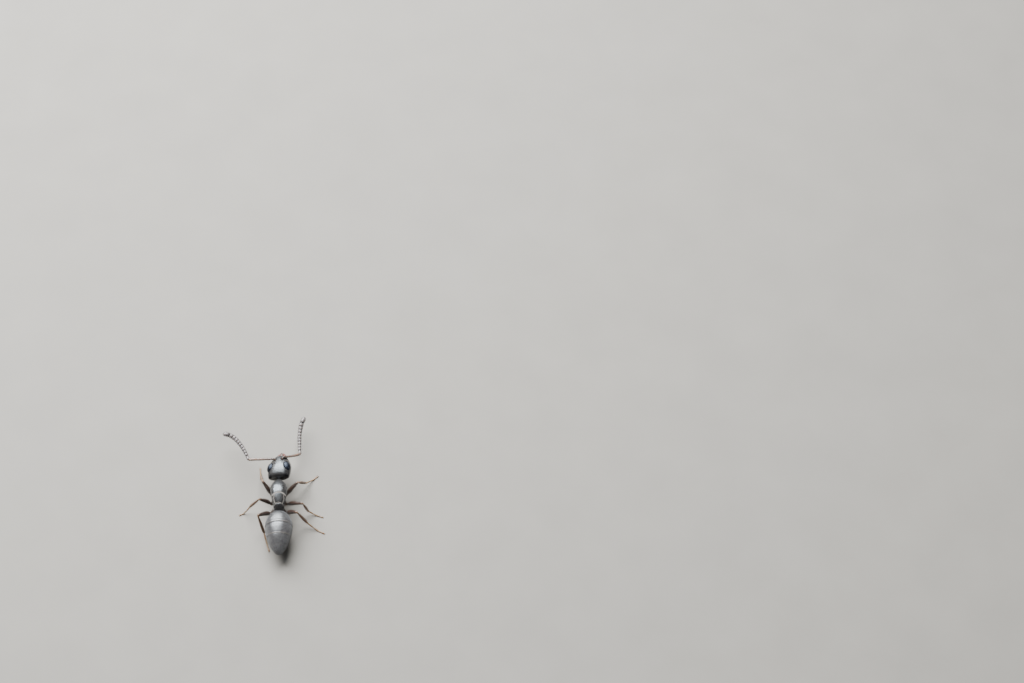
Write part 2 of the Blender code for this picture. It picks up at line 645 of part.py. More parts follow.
def thorax_solids(carrier):
    """The three plates of the thorax, parted by thin leaning cuts."""
    plates = (
        ("pronotum", PRONOTUM_STATIONS, PRONOTUM_RINGS, even),
        ("mesothorax", MESOTHORAX_STATIONS, MESOTHORAX_RINGS, even),
        ("propodeum", PROPODEUM_STATIONS, PROPODEUM_RINGS, rounded),
    )
    return [plate_solid(name, stations, spread(stations[0][0], stations[-1][0], count), carrier)
            for name, stations, count, spread in plates]


def neck_solid(name, carrier, grow=0.0):
    """A short neck that grows out of the front plate into the back of the head."""
    front, _, _, level, _, _ = PRONOTUM_STATIONS[0]
    start = Vector((0, front - NECK_BACK, level))
    end = HEAD_MATRIX @ Vector((0, HEAD_STATIONS[0][0] + NECK_REACH, HEAD_STATIONS[0][3] - NECK_DROP))
    line = (start, start.lerp(end, 0.5), end)
    rings = tube_rings(line, NECK_RADII, even(0, 1, NECK_RINGS), NECK_AROUND, grow)
    return skin(name, rings, "thorax_cuticle", start, carrier)


def petiole_solid(name, carrier, grow=0.0):
    """The waist, a low stalk hidden under the gaster's front."""
    root = PROPODEUM_STATIONS[-1][0] + PETIOLE_ROOT
    end = GASTER_STATIONS[0][0] - PETIOLE_REACH
    places = even(root, end, len(PETIOLE_LEVELS))
    line = [(0.0, y, z) for y, z in zip(places, PETIOLE_LEVELS)]
    rings = tube_rings(line, PETIOLE_RADII, even(0, 1, PETIOLE_RINGS), PETIOLE_AROUND, grow)
    return skin(name, rings, "thorax_cuticle", line[0], carrier)


def gaster_solids(carrier):
    """Four rings of plates: each later one starts a step smaller than the rim in front of it."""
    ends = (GASTER_STATIONS[0][0], *GASTER_CUTS, GASTER_STATIONS[-1][0])
    made = []
    for i, (front, rear) in enumerate(zip(ends, ends[1:])):
        if i == 0:
            ys = front + (rear - front) * even(0, 1, GASTER_FRONT_RINGS) ** GASTER_FRONT_CROWDING
            scale = 1.0
        else:
            ys = even(front - GAP, rear, GASTER_PLATE_RINGS)
            scale = 1 - PLATE_STEP * even(1, 0, GASTER_PLATE_RINGS) ** 2
        rings = body_rings(GASTER_STATIONS, ys, GASTER_AROUND, GASTER_POWER, scale)
        made.append(skin(f"gaster_{i + 1}", rings, "gaster_cuticle", (0, 0, 0), carrier))
    return made


# Legs


def coxa_root(pair, side, stations):
    """Where a leg leaves its plate, from the plate's own width and height there."""
    y, out, down = COXA_ROOTS[pair]
    table = np.asarray(stations, float)
    half, level, bottom = (float(eased(y, table[:, 0], table[:, k])) for k in (1, 3, 4))
    return Vector((side * half * out, y, level - (level - bottom) * down))


def leg_lines(root, hip, points):
    """The middle lines of a leg's four pieces: coxa, trochanter with femur, shin and foot."""
    knee, ankle, toe = (Vector(point) for point in points)
    thigh = knee - hip
    bow = Vector((0, 0, 1)).cross(thigh).cross(thigh).normalized() * -THIGH_BOW * thigh.length
    step = toe - ankle
    foot = [ankle - (ankle - knee).normalized() * FOOT_SUNK]
    for along, height in FOOT_LINE:
        spot = ankle + step * along
        spot.z = TOE_LEVEL + (ankle.z - TOE_LEVEL) * height
        foot.append(spot)
    return (root, root.lerp(hip, 0.5), hip), (hip, hip.lerp(knee, 0.5) + bow, knee), (knee, ankle), foot


def foot_profile():
    """Five joints, each narrow where it starts and widest where it ends."""
    shares, parts, owners = beads(TARSUS_JOINTS, 0, len(TARSUS_JOINTS), TARSUS_BEAD)
    stout = [TARSUS_ROOT_STOUTNESS if owner == 0 else 1.0 for owner in owners]
    radii = [TARSUS_RADIUS * part * more for part, more in zip(parts, stout)]
    return shares + [1.0], radii + [TARSUS_RADIUS * TARSUS_END]


def spine_solid(line, radii, surface, ant):
    rings = tube_rings(line, radii, even(0, 1, SPINE_RINGS), SPINE_AROUND)
    return skin("spine", rings, surface, line[0], ant)


def claws(foot, ant):
    """Two hooks that grow from the end of the last foot joint."""
    ahead = (foot[-1] - foot[-2]).normalized()
    aside = ahead.cross(Vector((0, 0, 1))).normalized()
    made = []
    for side in (-1, 1):
        line = [foot[-1] + ahead * a + aside * side * b + Vector((0, 0, c)) for a, b, c in CLAW_STEPS]
        made.append(spine_solid(line, CLAW_RADII, "tarsus", ant))
    return made


def spur(shin, foot, side, ant):
    """A spine at the end of the shin, beside the foot's first joint."""
    down = (shin[1] - shin[0]).normalized()
    step = (foot[2] - foot[1]).normalized()
    aside = down.cross(step).normalized() * side
    line = [shin[1] + step * ahead + aside * out for ahead, out in zip(SPUR_AHEAD, SPUR_ASIDE)]
    line[0] -= down * SPUR_BACK
    return spine_solid(line, SPUR_RADII, "tibia", ant)


def leg_solids(name, body, stations, ant):
    """One leg, each piece seated in a socket cut for its root."""
    pair, word = name.split("_")
    side = -1 if word == "left" else 1
    out, along, up = HIPS[pair]
    lines = leg_lines(coxa_root(pair, side, stations), Vector((side * out, along, up)), LEGS[name])
    feet, widths = foot_profile()
    pieces = (
        ("coxa", COXA_RADII, COXA_SHARES, COXA_AROUND, "femur"),
        ("femur", FEMUR_RADII, FEMUR_SHARES, FEMUR_AROUND, "femur"),
        ("tibia", TIBIA_RADII, TIBIA_SHARES, TIBIA_AROUND, "tibia"),
        ("tarsus", tuple(zip(feet, widths)), feet, TARSUS_AROUND, "tarsus"),
    )
    carrier = body
    for (part, radii, shares, around, surface), line in zip(pieces, lines):
        scaled = [(share, radius * LEG_STOUTNESS[pair]) for share, radius in radii]
        rings = tube_rings(line, scaled, shares, around)
        if part == "tarsus":
            rings[..., 2] = np.maximum(rings[..., 2], 0.0)
        made = skin(f"{part}_{name}", rings, surface, line[0], ant)
        carve(carrier, skin("cutter", tube_rings(line, scaled, shares, around, GAP), surface, line[0], ant))
        if part == "tarsus":
            join(made, claws(line, ant))
            join(carrier, [spur(lines[2], line, side, ant)])
        carrier = made


def main():
    for old in list(bpy.data.objects):
        bpy.data.objects.remove(old, do_unlink=True)
    ant = empty("ant_place", Matrix.Translation(Vector(FRAME_SHIFT) * MM))
    turned = HEAD_MATRIX.copy()
    turned.translation *= MM
    face = empty("head_place", turned, ant)

    head = head_solid(face)
    for side in (-1, 1):
        eye_solid(side, face)
        carve(head, eye_solid(side, face, GAP))
        mandible_solid(side, face)
    mouthparts_solid(head, face)
    pronotum, mesothorax, propodeum = thorax_solids(ant)
    join(pronotum, [neck_solid("neck", ant)])
    carve(head, neck_solid("cutter", ant, GAP))
    segments = gaster_solids(ant)
    petiole_solid("petiole", ant)
    for carrier in (propodeum, segments[0]):
        carve(carrier, petiole_solid("cutter", ant, GAP))
    for side in (-1, 1):
        antenna_solids(side, head, ant)
    plates = {
        "fore": (pronotum, PRONOTUM_STATIONS),
        "mid": (mesothorax, MESOTHORAX_STATIONS),
        "hind": (propodeum, PROPODEUM_STATIONS),
    }
    for name in LEGS:
        leg_solids(name, *plates[name.split("_")[0]], ant)


main()
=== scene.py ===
"""Odorous house ant worker, 3.2 mm long, standing as in the photograph.

Sizes are in millimetres in the ant's own frame, whose origin is on the floor under the middle
of the thorax: +X is the ant's right, +Y the way it faces, +Z up. `to_row` brings a point into
the shared frame, in metres.
"""

import math

import bpy
import numpy as np
from mathutils import Matrix, Vector


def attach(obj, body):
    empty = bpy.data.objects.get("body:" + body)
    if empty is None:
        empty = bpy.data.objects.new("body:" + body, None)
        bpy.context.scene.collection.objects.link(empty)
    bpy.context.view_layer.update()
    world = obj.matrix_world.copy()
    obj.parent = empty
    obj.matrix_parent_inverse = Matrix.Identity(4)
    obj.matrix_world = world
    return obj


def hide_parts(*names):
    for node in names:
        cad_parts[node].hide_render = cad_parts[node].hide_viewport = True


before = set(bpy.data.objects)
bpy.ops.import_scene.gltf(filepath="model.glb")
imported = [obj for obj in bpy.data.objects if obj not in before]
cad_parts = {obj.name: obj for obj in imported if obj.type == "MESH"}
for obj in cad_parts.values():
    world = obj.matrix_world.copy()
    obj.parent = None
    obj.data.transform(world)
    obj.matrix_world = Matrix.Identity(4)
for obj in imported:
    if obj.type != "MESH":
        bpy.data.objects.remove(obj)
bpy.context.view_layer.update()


# Floor, light and camera
# A plain pale floor under a soft box that stands ahead of the ant and high up. The camera looks
# down at the ant from behind it, and its view is shifted so that the ant keeps its place in the
# picture, to the left and below the middle.

MM = 0.001
FRAME_SHIFT = (0.1355, -0.40, 0.0)
PICTURE_WIDTH = 1024
PIXELS_PER_MM = 36.0
WAIST_PIXEL = (278.8, 496.0)
WAIST_HEIGHT = 0.55
MIDDLE_PIXEL = (512.0, 341.5)
LENS = 100.0
SENSOR = 36.0
VIEW_UP = Vector((0, 0.866, 0.5))
VIEW_AWAY = Vector((0, 0.5, -0.866))
FLOOR_COLOURS = ((0.27, 0.245, 0.21, 1), (0.32, 0.29, 0.25, 1))
SKY_COLOUR = (0.80, 0.88, 1.0, 1)
SKY_STRENGTH = 0.16
BOX_AIM = Vector((-0.28, 0.60, 0.80))
BOX_DISTANCE = 60.0
BOX_SIZE = 70.0
BOX_POWER = 0.21
BOX_COLOUR = (0.90, 0.95, 1.0)


def to_row(points):
    """Points of the ant's frame in metres in the shared frame: the shift is added, then scaled."""
    return (np.asarray(points, float) + FRAME_SHIFT) * MM


def add_node(tree, kind, inputs=(), **settings):
    """One shader node; each input takes a value or the output of another node."""
    node = tree.nodes.new(kind)
    for key, value in settings.items():
        setattr(node, key, value)
    for key, value in dict(inputs).items():
        if isinstance(value, bpy.types.NodeSocket):
            tree.links.new(value, node.inputs[key])
        else:
            node.inputs[key].default_value = value
    return node


def new_material(name):
    """A material with its node tree and its shader."""
    made = bpy.data.materials.new(name)
    made.use_nodes = True
    return made, made.node_tree, made.node_tree.nodes["Principled BSDF"]


def in_mm(tree):
    """The surface point in millimetres, for patterns."""
    spot = add_node(tree, "ShaderNodeTexCoord").outputs["Object"]
    return add_node(tree, "ShaderNodeMapping", {"Vector": spot, "Scale": (1 / MM,) * 3}).outputs["Vector"]


def floor_material():
    """Matt ground in two tones that a soft noise blends."""
    made, tree, shader = new_material("floor")
    grain = add_node(tree, "ShaderNodeTexNoise", {"Vector": in_mm(tree), "Scale": 0.6, "Detail": 4.0})
    tone = add_node(tree, "ShaderNodeMix", {"Factor": grain.outputs["Fac"], "A": FLOOR_COLOURS[0],
                                            "B": FLOOR_COLOURS[1]}, data_type="RGBA")
    tree.links.new(tone.outputs["Result"], shader.inputs["Base Color"])
    shader.inputs["Roughness"].default_value = 0.8
    return made


def aim_camera():
    """The waist falls on its pixel, and the picture's scale at the waist is as given."""
    reach = PICTURE_WIDTH * LENS / SENSOR / PIXELS_PER_MM
    aside = (WAIST_PIXEL[0] - MIDDLE_PIXEL[0]) / PIXELS_PER_MM
    above = (MIDDLE_PIXEL[1] - WAIST_PIXEL[1]) / PIXELS_PER_MM
    across = Vector((1, 0, 0))
    ahead = (VIEW_AWAY - across * (aside / reach) - VIEW_UP * (above / reach)).normalized()
    right = (across - ahead * across.dot(ahead)).normalized()
    top = right.cross(ahead)
    waist = Vector(FRAME_SHIFT) + Vector((0, 0, WAIST_HEIGHT))
    data = bpy.data.cameras.new("camera")
    data.lens = LENS
    data.sensor_width = SENSOR
    data.clip_start = 0.001
    data.clip_end = 10.0
    camera = bpy.data.objects.new("camera", data)
    bpy.context.scene.collection.objects.link(camera)
    turn = Matrix((right, top, -ahead)).transposed().to_4x4()
    turn.translation = (waist - ahead * reach - right * aside - top * above) * MM
    camera.matrix_world = turn
    bpy.context.scene.camera = camera


def light_up():
    """One round soft box and an even pale sky."""
    data = bpy.data.lights.new("soft_box", "AREA")
    data.shape = "DISK"
    data.size = BOX_SIZE * MM
    data.energy = BOX_POWER
    data.color = BOX_COLOUR
    box = bpy.data.objects.new("soft_box", data)
    box.location = BOX_AIM.normalized() * BOX_DISTANCE * MM
    box.rotation_mode = "QUATERNION"
    box.rotation_quaternion = BOX_AIM.to_track_quat("Z", "Y")
    bpy.context.scene.collection.objects.link(box)
    sky = bpy.data.worlds.new("sky")
    sky.use_nodes = True
    sky.node_tree.nodes["Background"].inputs["Color"].default_value = SKY_COLOUR
    sky.node_tree.nodes["Background"].inputs["Strength"].default_value = SKY_STRENGTH
    bpy.context.scene.world = sky


bpy.ops.mesh.primitive_plane_add(size=0.5)
ground = bpy.context.object
ground.name = "floor"
ground.data.materials.append(floor_material())
aim_camera()
light_up()


# Head
# A heart-shaped capsule of dark brown glossy cuticle, widest behind the eyes, with a low lip
# shield in front and two round hollows for the feelers. The neck holds it from behind.

HEAD_MATRIX = (
    Matrix.Translation(Vector((0.03, 0.87, 0.60)))
    @ Matrix.Rotation(math.radians(-5.0), 4, "Z")
    @ Matrix.Rotation(math.radians(-8.0), 4, "X")
    @ Matrix.Rotation(math.radians(-17.0), 4, "Y")
)
HEAD_POWER = 2.1
# Each: y, half width, top, widest level, bottom, lean
HEAD_STATIONS = (
    (-0.360, 0.256, 0.078, 0.000, -0.078, 0.0),
    (-0.354, 0.282, 0.110, 0.000, -0.108, 0.0),
    (-0.326, 0.302, 0.148, 0.000, -0.147, 0.0),
    (-0.262, 0.312, 0.185, 0.000, -0.180, 0.0),
    (-0.155, 0.321, 0.210, 0.000, -0.198, 0.0),
    (-0.025, 0.324, 0.216, 0.000, -0.203, 0.0),
    (0.100, 0.300, 0.204, -0.005, -0.192, 0.0),
    (0.205, 0.257, 0.176, -0.012, -0.168, 0.05),
    (0.283, 0.213, 0.140, -0.020, -0.136, 0.12),
    (0.326, 0.180, 0.104, -0.026, -0.104, 0.18),
    (0.340, 0.160, 0.082, -0.030, -0.082, 0.20),
)
HEAD_ROWS = 210
HEAD_AROUND = 250
HEAD_BULGE = (0.012, 0.030)
SHIELD_RISE = 0.016
SHIELD_REAR = 0.130
SHIELD_FULL = 0.240
SHIELD_HALF_WIDTH = 0.095
SOCKET_PLACE = (0.100, 0.170)
SOCKET_HOLLOW = 0.012
SOCKET_SPREAD = 0.050
RIDGE_PLACE = (0.060, 0.172)
TROUGH_PLACE = (0.135, 0.084)
LIP_FURROW = 0.118
EYE_PLACE = (0.262, -0.052)
EYE_HALVES = (0.110, 0.152, 0.094)
EYE_SUNK = 0.042
EYE_TURN = 22.0
HEAD_COLOURS = ((0.011, 0.008, 0.007), (0.034, 0.024, 0.018), (0.110, 0.050, 0.026))

# Near black that the dark mark blends to: painted shade in furrows, pits and dim zones, and the own dark of
# joints and tooth edges.
SHADE_AND_DARK_COLOUR = (0.004, 0.003, 0.003, 1)
SHEEN_COLOUR = (0.80, 0.84, 0.90, 1)
CLOSED = 0.985  # share of a quarter turn after which a rounded end is closed by a fan

hair_grounds = {}  # the grids that the coat grows on


def eased(at, xs, ys):
    """Values on a curve through (xs, ys) that never overshoots: a cubic between each two points,
    whose slope at a point is the harmonic mean of the slopes to its two neighbours."""
    xs = np.asarray(xs, float)
    ys = np.asarray(ys, float)
    if xs[0] > xs[-1]:
        xs = xs[::-1]
        ys = ys[::-1]
    step = np.diff(xs)
    rise = np.diff(ys) / step
    slope = np.concatenate((rise[:1], np.zeros(len(xs) - 2), rise[-1:]))
    same = rise[:-1] * rise[1:] > 0
    slope[1:-1][same] = 2.0 / (1.0 / rise[:-1][same] + 1.0 / rise[1:][same])
    at = np.asarray(at, float)
    i = np.clip(np.searchsorted(xs, at, side="right") - 1, 0, len(step) - 1)
    t = (at - xs[i]) / step[i]
    first = (1 + 2 * t) * (1 - t) ** 2 * ys[i] + t * (1 - t) ** 2 * step[i] * slope[i]
    second = t**2 * (3 - 2 * t) * ys[i + 1] - t**2 * (1 - t) * step[i] * slope[i + 1]
    return first + second


def body_rings(stations, ys, around, power, bow=0.0):
    """Rings along Y: x is half width times cos, z is height times sin, both raised to 2 / power,
    and y leans forward by the lean times z. The sides of a ring that leans back are drawn back by
    bow times the lean times the square of cos."""
    table = np.asarray(stations, float)
    half, top, level, bottom, lean = (eased(ys, table[:, 0], table[:, k])[:, None] for k in range(1, 6))
    angle = 2 * math.pi * np.arange(around) / around
    across = np.sign(np.cos(angle)) * np.abs(np.cos(angle)) ** (2 / power)
    height = np.sign(np.sin(angle)) * np.abs(np.sin(angle)) ** (2 / power)
    z = np.where(height > 0, (top - level) * height, (level - bottom) * height)
    y = np.asarray(ys)[:, None] + lean * z + bow * np.minimum(lean, 0) * across**2
    return np.stack((half * across + 0 * z, y, level + z), axis=-1)


def rounded(first, last, count):
    """Steps that crowd towards both ends: first plus the reach times (1 - cos) / 2."""
    return first + (last - first) * (1 - np.cos(math.pi * np.arange(count) / (count - 1))) / 2


def closing(ring, bulge, steps=7):
    """Rings that round off an open end: the ring shrinks by cos and moves along `bulge` by sin."""
    turn = (np.arange(1, steps + 1) / steps * CLOSED * math.pi / 2)[:, None, None]
    middle = ring.mean(axis=0)
    return middle + (ring - middle) * np.cos(turn) + np.asarray(bulge, float) * np.sin(turn)


def outward(rings):
    """Directions out of a grid: the cross product of the way along it and the way around it."""
    along = np.gradient(rings, axis=0)
    around = np.roll(rings, -1, axis=1) - np.roll(rings, 1, axis=1)
    out = np.cross(around, along)
    out /= np.maximum(np.linalg.norm(out, axis=2, keepdims=True), 1e-12)
    inside = rings - rings.mean(axis=1, keepdims=True)
    middle = slice(len(rings) // 4, max(3 * len(rings) // 4, len(rings) // 4 + 1))
    return out if np.sum((out * inside)[middle]) > 0 else -out


def apply_matrix(matrix, points):
    """Points turned and moved by a matrix."""
    turn = np.array(matrix.to_3x3())
    return np.asarray(points, float) @ turn.T + np.array(matrix.translation)


def bump(distance, width):
    """A bell: exp of minus the squared share of the width."""
    return np.exp(-((distance / width) ** 2))


def grid_faces(count, around):
    """Point numbers and unwrap places at the corners of a closed grid's faces: quads between
    neighbours, then a fan of triangles round each pole. The two poles are the last points."""
    row = np.arange(count - 1)[:, None] * around
    here = np.arange(around)[None, :]
    there = (here + 1) % around
    quads = np.stack((row + here, row + there, row + around + there, row + around + here), axis=-1)
    last = (count - 1) * around
    pole = np.full(around, count * around)
    fans = np.concatenate((
        np.stack((there[0], here[0], pole), axis=-1),
        np.stack((last + here[0], last + there[0], pole + 1), axis=-1),
    ))
    u = np.arange(around) / around
    v = np.repeat(np.arange(count - 1) / count, around)
    quad_u = np.tile(np.stack((u, u + 1 / around, u + 1 / around, u), axis=-1), (count - 1, 1))
    quad_v = np.stack((v, v, v + 1 / count, v + 1 / count), axis=-1)
    fan_u = np.concatenate((np.stack((u + 1 / around, u, u), axis=-1),
                            np.stack((u, u + 1 / around, u), axis=-1)))
    fan_v = np.concatenate((np.zeros((around, 3)), np.ones((around, 3))))
    return quads.reshape(-1, 4), fans, np.stack((quad_u, quad_v), axis=-1), np.stack((fan_u, fan_v), axis=-1)


def new_mesh(name, points, corners, starts, unwrap, places, surface):
    """A smooth mesh from its points, the point number at each corner, the first corner of each face
    and each corner's place on the unwrap."""
    mesh = bpy.data.meshes.new(name)
    mesh.vertices.add(len(points))
    mesh.vertices.foreach_set("co", to_row(points).ravel())
    mesh.loops.add(len(corners))
    mesh.loops.foreach_set("vertex_index", corners.astype(np.int32))
    mesh.polygons.add(len(starts))
    mesh.polygons.foreach_set("loop_start", starts.astype(np.int32))
    mesh.update(calc_edges=True)
    mesh.uv_layers.new(name=unwrap).uv.foreach_set("vector", places.astype(np.float32).ravel())
    mesh.polygons.foreach_set("use_smooth", np.ones(len(starts), bool))
    mesh.materials.append(surface)
    return mesh


def put_piece(name, shells, surface, nodes):
    """One mesh over closed grids, each turned outward by the sign of the volume that it encloses. A
    shell is its rings, its pale marks and its dark marks, all from 0 to 1."""
    points, corners, starts, places, pale, dark = [], [], [], [], [], []
    first = 0
    used = 0
    for rings, *marks in shells:
        count, around = rings.shape[:2]
        poles = rings[0].mean(axis=0), rings[-1].mean(axis=0)
        own = np.concatenate((rings.reshape(-1, 3), poles))
        faces = grid_faces(count, around)
        quads = faces[0]
        if np.sum(np.cross(own[quads[:, 0]], own[quads[:, 1]]) * own[quads[:, 2]]) < 0:
            faces = [part[:, ::-1] for part in faces]
        quads, fans, quad_places, fan_places = faces
        points.append(own)
        corners += [(quads + first).ravel(), (fans + first).ravel()]
        starts += [used + 4 * np.arange(len(quads)), used + quads.size + 3 * np.arange(len(fans))]
        places += [quad_places.reshape(-1, 2), fan_places.reshape(-1, 2)]
        for store, mark in zip((pale, dark), marks):
            mark = np.broadcast_to(np.asarray(mark, float), (count, around))
            store.append(np.concatenate((mark.ravel(), [mark[0].mean(), mark[-1].mean()])))
        first += len(own)
        used += quads.size + fans.size
    mesh = new_mesh(name, np.concatenate(points), np.concatenate(corners), np.concatenate(starts),
                    "unwrap", np.concatenate(places), surface)
    for key, store in (("pale", pale), ("dark", dark)):
        values = mesh.attributes.new(key, "FLOAT", "POINT").data
        values.foreach_set("value", np.concatenate(store).astype(np.float32))
    made = bpy.data.objects.new(name, mesh)
    bpy.context.scene.collection.objects.link(made)
    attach(made, "root")
    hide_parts(*nodes)


def cuticle_colour(tree, colours, spot, specks, pale, dark):
    """Two dark tones in soft clouds, a paler tone by the pale mark, then near black by the dark one.
    In places the pale mark is a painted highlight and the dark one painted shade.
    """
    clouds = add_node(tree, "ShaderNodeTexNoise",
                      {"Vector": spot, "Scale": 7.0, "Detail": 5.0, "Roughness": 0.6})
    blend = add_node(tree, "ShaderNodeMath", {0: clouds.outputs["Fac"], 1: specks}, operation="ADD")
    tone = add_node(tree, "ShaderNodeMapRange",
                    {"Value": blend.outputs["Value"], "From Min": 0.75, "From Max": 1.25})
    base = add_node(tree, "ShaderNodeMix", {"Factor": tone.outputs["Result"], "A": (*colours[0], 1),
                                            "B": (*colours[1], 1)}, data_type="RGBA")
    lit = add_node(tree, "ShaderNodeMix", {"Factor": pale, "A": base.outputs["Result"],
                                           "B": (*colours[2], 1)}, data_type="RGBA")
    deep = add_node(tree, "ShaderNodeMix", {"Factor": dark, "A": lit.outputs["Result"],
                                            "B": SHADE_AND_DARK_COLOUR}, data_type="RGBA")
    return deep.outputs["Result"]


def cuticle_relief(tree, spot):
    """A fine net of raised cells over soft dimples."""
    cells = add_node(tree, "ShaderNodeTexVoronoi", {"Vector": spot, "Scale": 75.0},
                     feature="DISTANCE_TO_EDGE")
    walls = add_node(tree, "ShaderNodeMapRange", {"Value": cells.outputs["Distance"], "From Max": 0.12})
    dimples = add_node(tree, "ShaderNodeTexNoise", {"Vector": spot, "Scale": 26.0, "Detail": 3.0})
    relief = add_node(tree, "ShaderNodeMath", {0: walls.outputs["Result"], 1: 0.35,
                                               2: dimples.outputs["Fac"]}, operation="MULTIPLY_ADD")
    press = add_node(tree, "ShaderNodeBump", {"Height": relief.outputs["Value"], "Strength": 0.6,
                                              "Distance": 1.3e-6})
    return press.outputs["Normal"]


def cuticle(name, colours, roughness, glow=0.0, gloss=1.70, sheen=0.10, glint=(1.0, 1.0, 1.0)):
    """Horny skin. Fine specks make its roughness uneven, and the dark mark also dulls it."""
    made, tree, shader = new_material(name)
    spot = in_mm(tree)
    specks = add_node(tree, "ShaderNodeTexNoise",
                      {"Vector": spot, "Scale": 70.0, "Detail": 2.0}).outputs["Fac"]
    pale, dark = (add_node(tree, "ShaderNodeAttribute", attribute_name=key).outputs["Fac"]
                  for key in ("pale", "dark"))
    shine = add_node(tree, "ShaderNodeMapRange",
                     {"Value": specks, "From Min": 0.3, "From Max": 0.7,
                      "To Min": roughness - 0.05, "To Max": roughness + 0.07})
    dull = add_node(tree, "ShaderNodeMath", {0: dark, 1: 0.35, 2: shine.outputs["Result"]},
                    operation="MULTIPLY_ADD")
    level = add_node(tree, "ShaderNodeMath", {0: dark, 1: -0.42, 2: 0.5}, operation="MULTIPLY_ADD")
    colour = cuticle_colour(tree, colours, spot, specks, pale, dark)
    tree.links.new(colour, shader.inputs["Base Color"])
    tree.links.new(dull.outputs["Value"], shader.inputs["Roughness"])
    tree.links.new(level.outputs["Value"], shader.inputs["Specular IOR Level"])
    tree.links.new(cuticle_relief(tree, spot), shader.inputs["Normal"])
    settings = {"IOR": gloss, "Specular Tint": (*glint, 1), "Sheen Weight": sheen, "Sheen Roughness": 0.45,
                "Sheen Tint": SHEEN_COLOUR, "Subsurface Weight": glow, "Subsurface Scale": 4e-5,
                "Subsurface Radius": (1.0, 0.5, 0.25)}
    for key, value in settings.items():
        shader.inputs[key].default_value = value
    return made


def face_relief(x, y):
    """Height of the face over the plain form: the lip shield's low swelling less a bell-shaped
    hollow round each feeler's root."""
    along = np.clip((y - SHIELD_REAR) / (SHIELD_FULL - SHIELD_REAR), 0, 1)
    shield = SHIELD_RISE * along**2 * (3 - 2 * along) * np.exp(-((x / SHIELD_HALF_WIDTH) ** 2))
    off = ((np.abs(x) - SOCKET_PLACE[0]) ** 2 + (y - SOCKET_PLACE[1]) ** 2) / SOCKET_SPREAD**2
    return shield - SOCKET_HOLLOW * np.exp(-off)


def face_details(x, y):
    """Fine relief and dark marks of the face, most of them bells: a ridge on the inner side of each
    feeler's root, a pit at the root, a furrow round the lip shield, a faint one up the middle and a
    trough beside each root. The dark marks are painted shade: in the furrows and troughs, round each
    feeler's root, and in ramps over the front of the face, the cheeks and the back of the head."""
    far = np.abs(x)
    from_root = np.hypot(far - SOCKET_PLACE[0], y - SOCKET_PLACE[1])
    ridge = 0.009 * bump(far - RIDGE_PLACE[0], 0.012) * bump(y - RIDGE_PLACE[1], 0.040)
    pit = 0.012 * bump(from_root, 0.026)
    rear = LIP_FURROW + 9.0 * np.clip(far - 0.035, 0, None) ** 2
    # The furrows, the troughs and the ring round each feeler's root also darken the face: painted shade.
    seam = bump(y - rear, 0.007) * (far < 0.150)
    middle = bump(x, 0.0045) * bump(y + 0.04, 0.13)
    hollow = bump(from_root, 0.040)
    trough = bump(np.hypot(far - TROUGH_PLACE[0], y - TROUGH_PLACE[1]), 0.034)
    # Painted shade in ramps over the front of the face, the back of the head and the cheeks.
    muzzle_shade = 0.70 * np.clip((y - 0.12) / 0.06, 0, 1)
    nape_shade = 0.50 * np.clip((-0.10 - y) / 0.18, 0, 1)
    cheek_shade = 0.62 * np.clip((far - 0.15) / 0.08, 0, 1) * np.clip((0.02 - y) / 0.10, 0, 1)
    dark = 0.7 * seam + 0.25 * middle + 0.8 * hollow + 0.4 * trough + (muzzle_shade + nape_shade) + cheek_shade
    return ridge - pit - 0.0035 * seam - 0.0012 * middle - 0.003 * trough, dark


def head_surface(x, y):
    """The point of the face above (x, y) in the head's frame, and the direction out of it."""
    table = np.asarray(HEAD_STATIONS, float)

    def point(px, py):
        half, top, level = (float(eased(py, table[:, 0], table[:, k])) for k in (1, 2, 3))
        height = (1 - min(abs(px) / half, 1.0) ** HEAD_POWER) ** (1 / HEAD_POWER)
        return Vector((px, py, level + (top - level) * height + float(face_relief(px, py))))

    spot = point(x, y)
    return spot, (point(x + 0.004, y) - spot).cross(point(x, y + 0.004) - spot).normalized()


def eye_place(side):
    """The eye's middle and its three axes: across, along and out."""
    spot, out = head_surface(side * EYE_PLACE[0], EYE_PLACE[1])
    across = Vector((0, 1, 0)).cross(out).normalized()
    turn = Matrix((across, out.cross(across), out)).transposed()
    turn = turn @ Matrix.Rotation(math.radians(side * EYE_TURN), 3, "Z")
    placed = turn.to_4x4()
    placed.translation = spot - out * EYE_SUNK
    return placed


def eye_distance(points, side):
    """How far points of the head lie from the eye's middle, as a share of the eye's outline."""
    local = apply_matrix(eye_place(side).inverted(), points)
    far = np.hypot(local[..., 0] / EYE_HALVES[0], local[..., 1] / EYE_HALVES[1])
    return np.where(local[..., 2] > -0.03, far, 9.0)


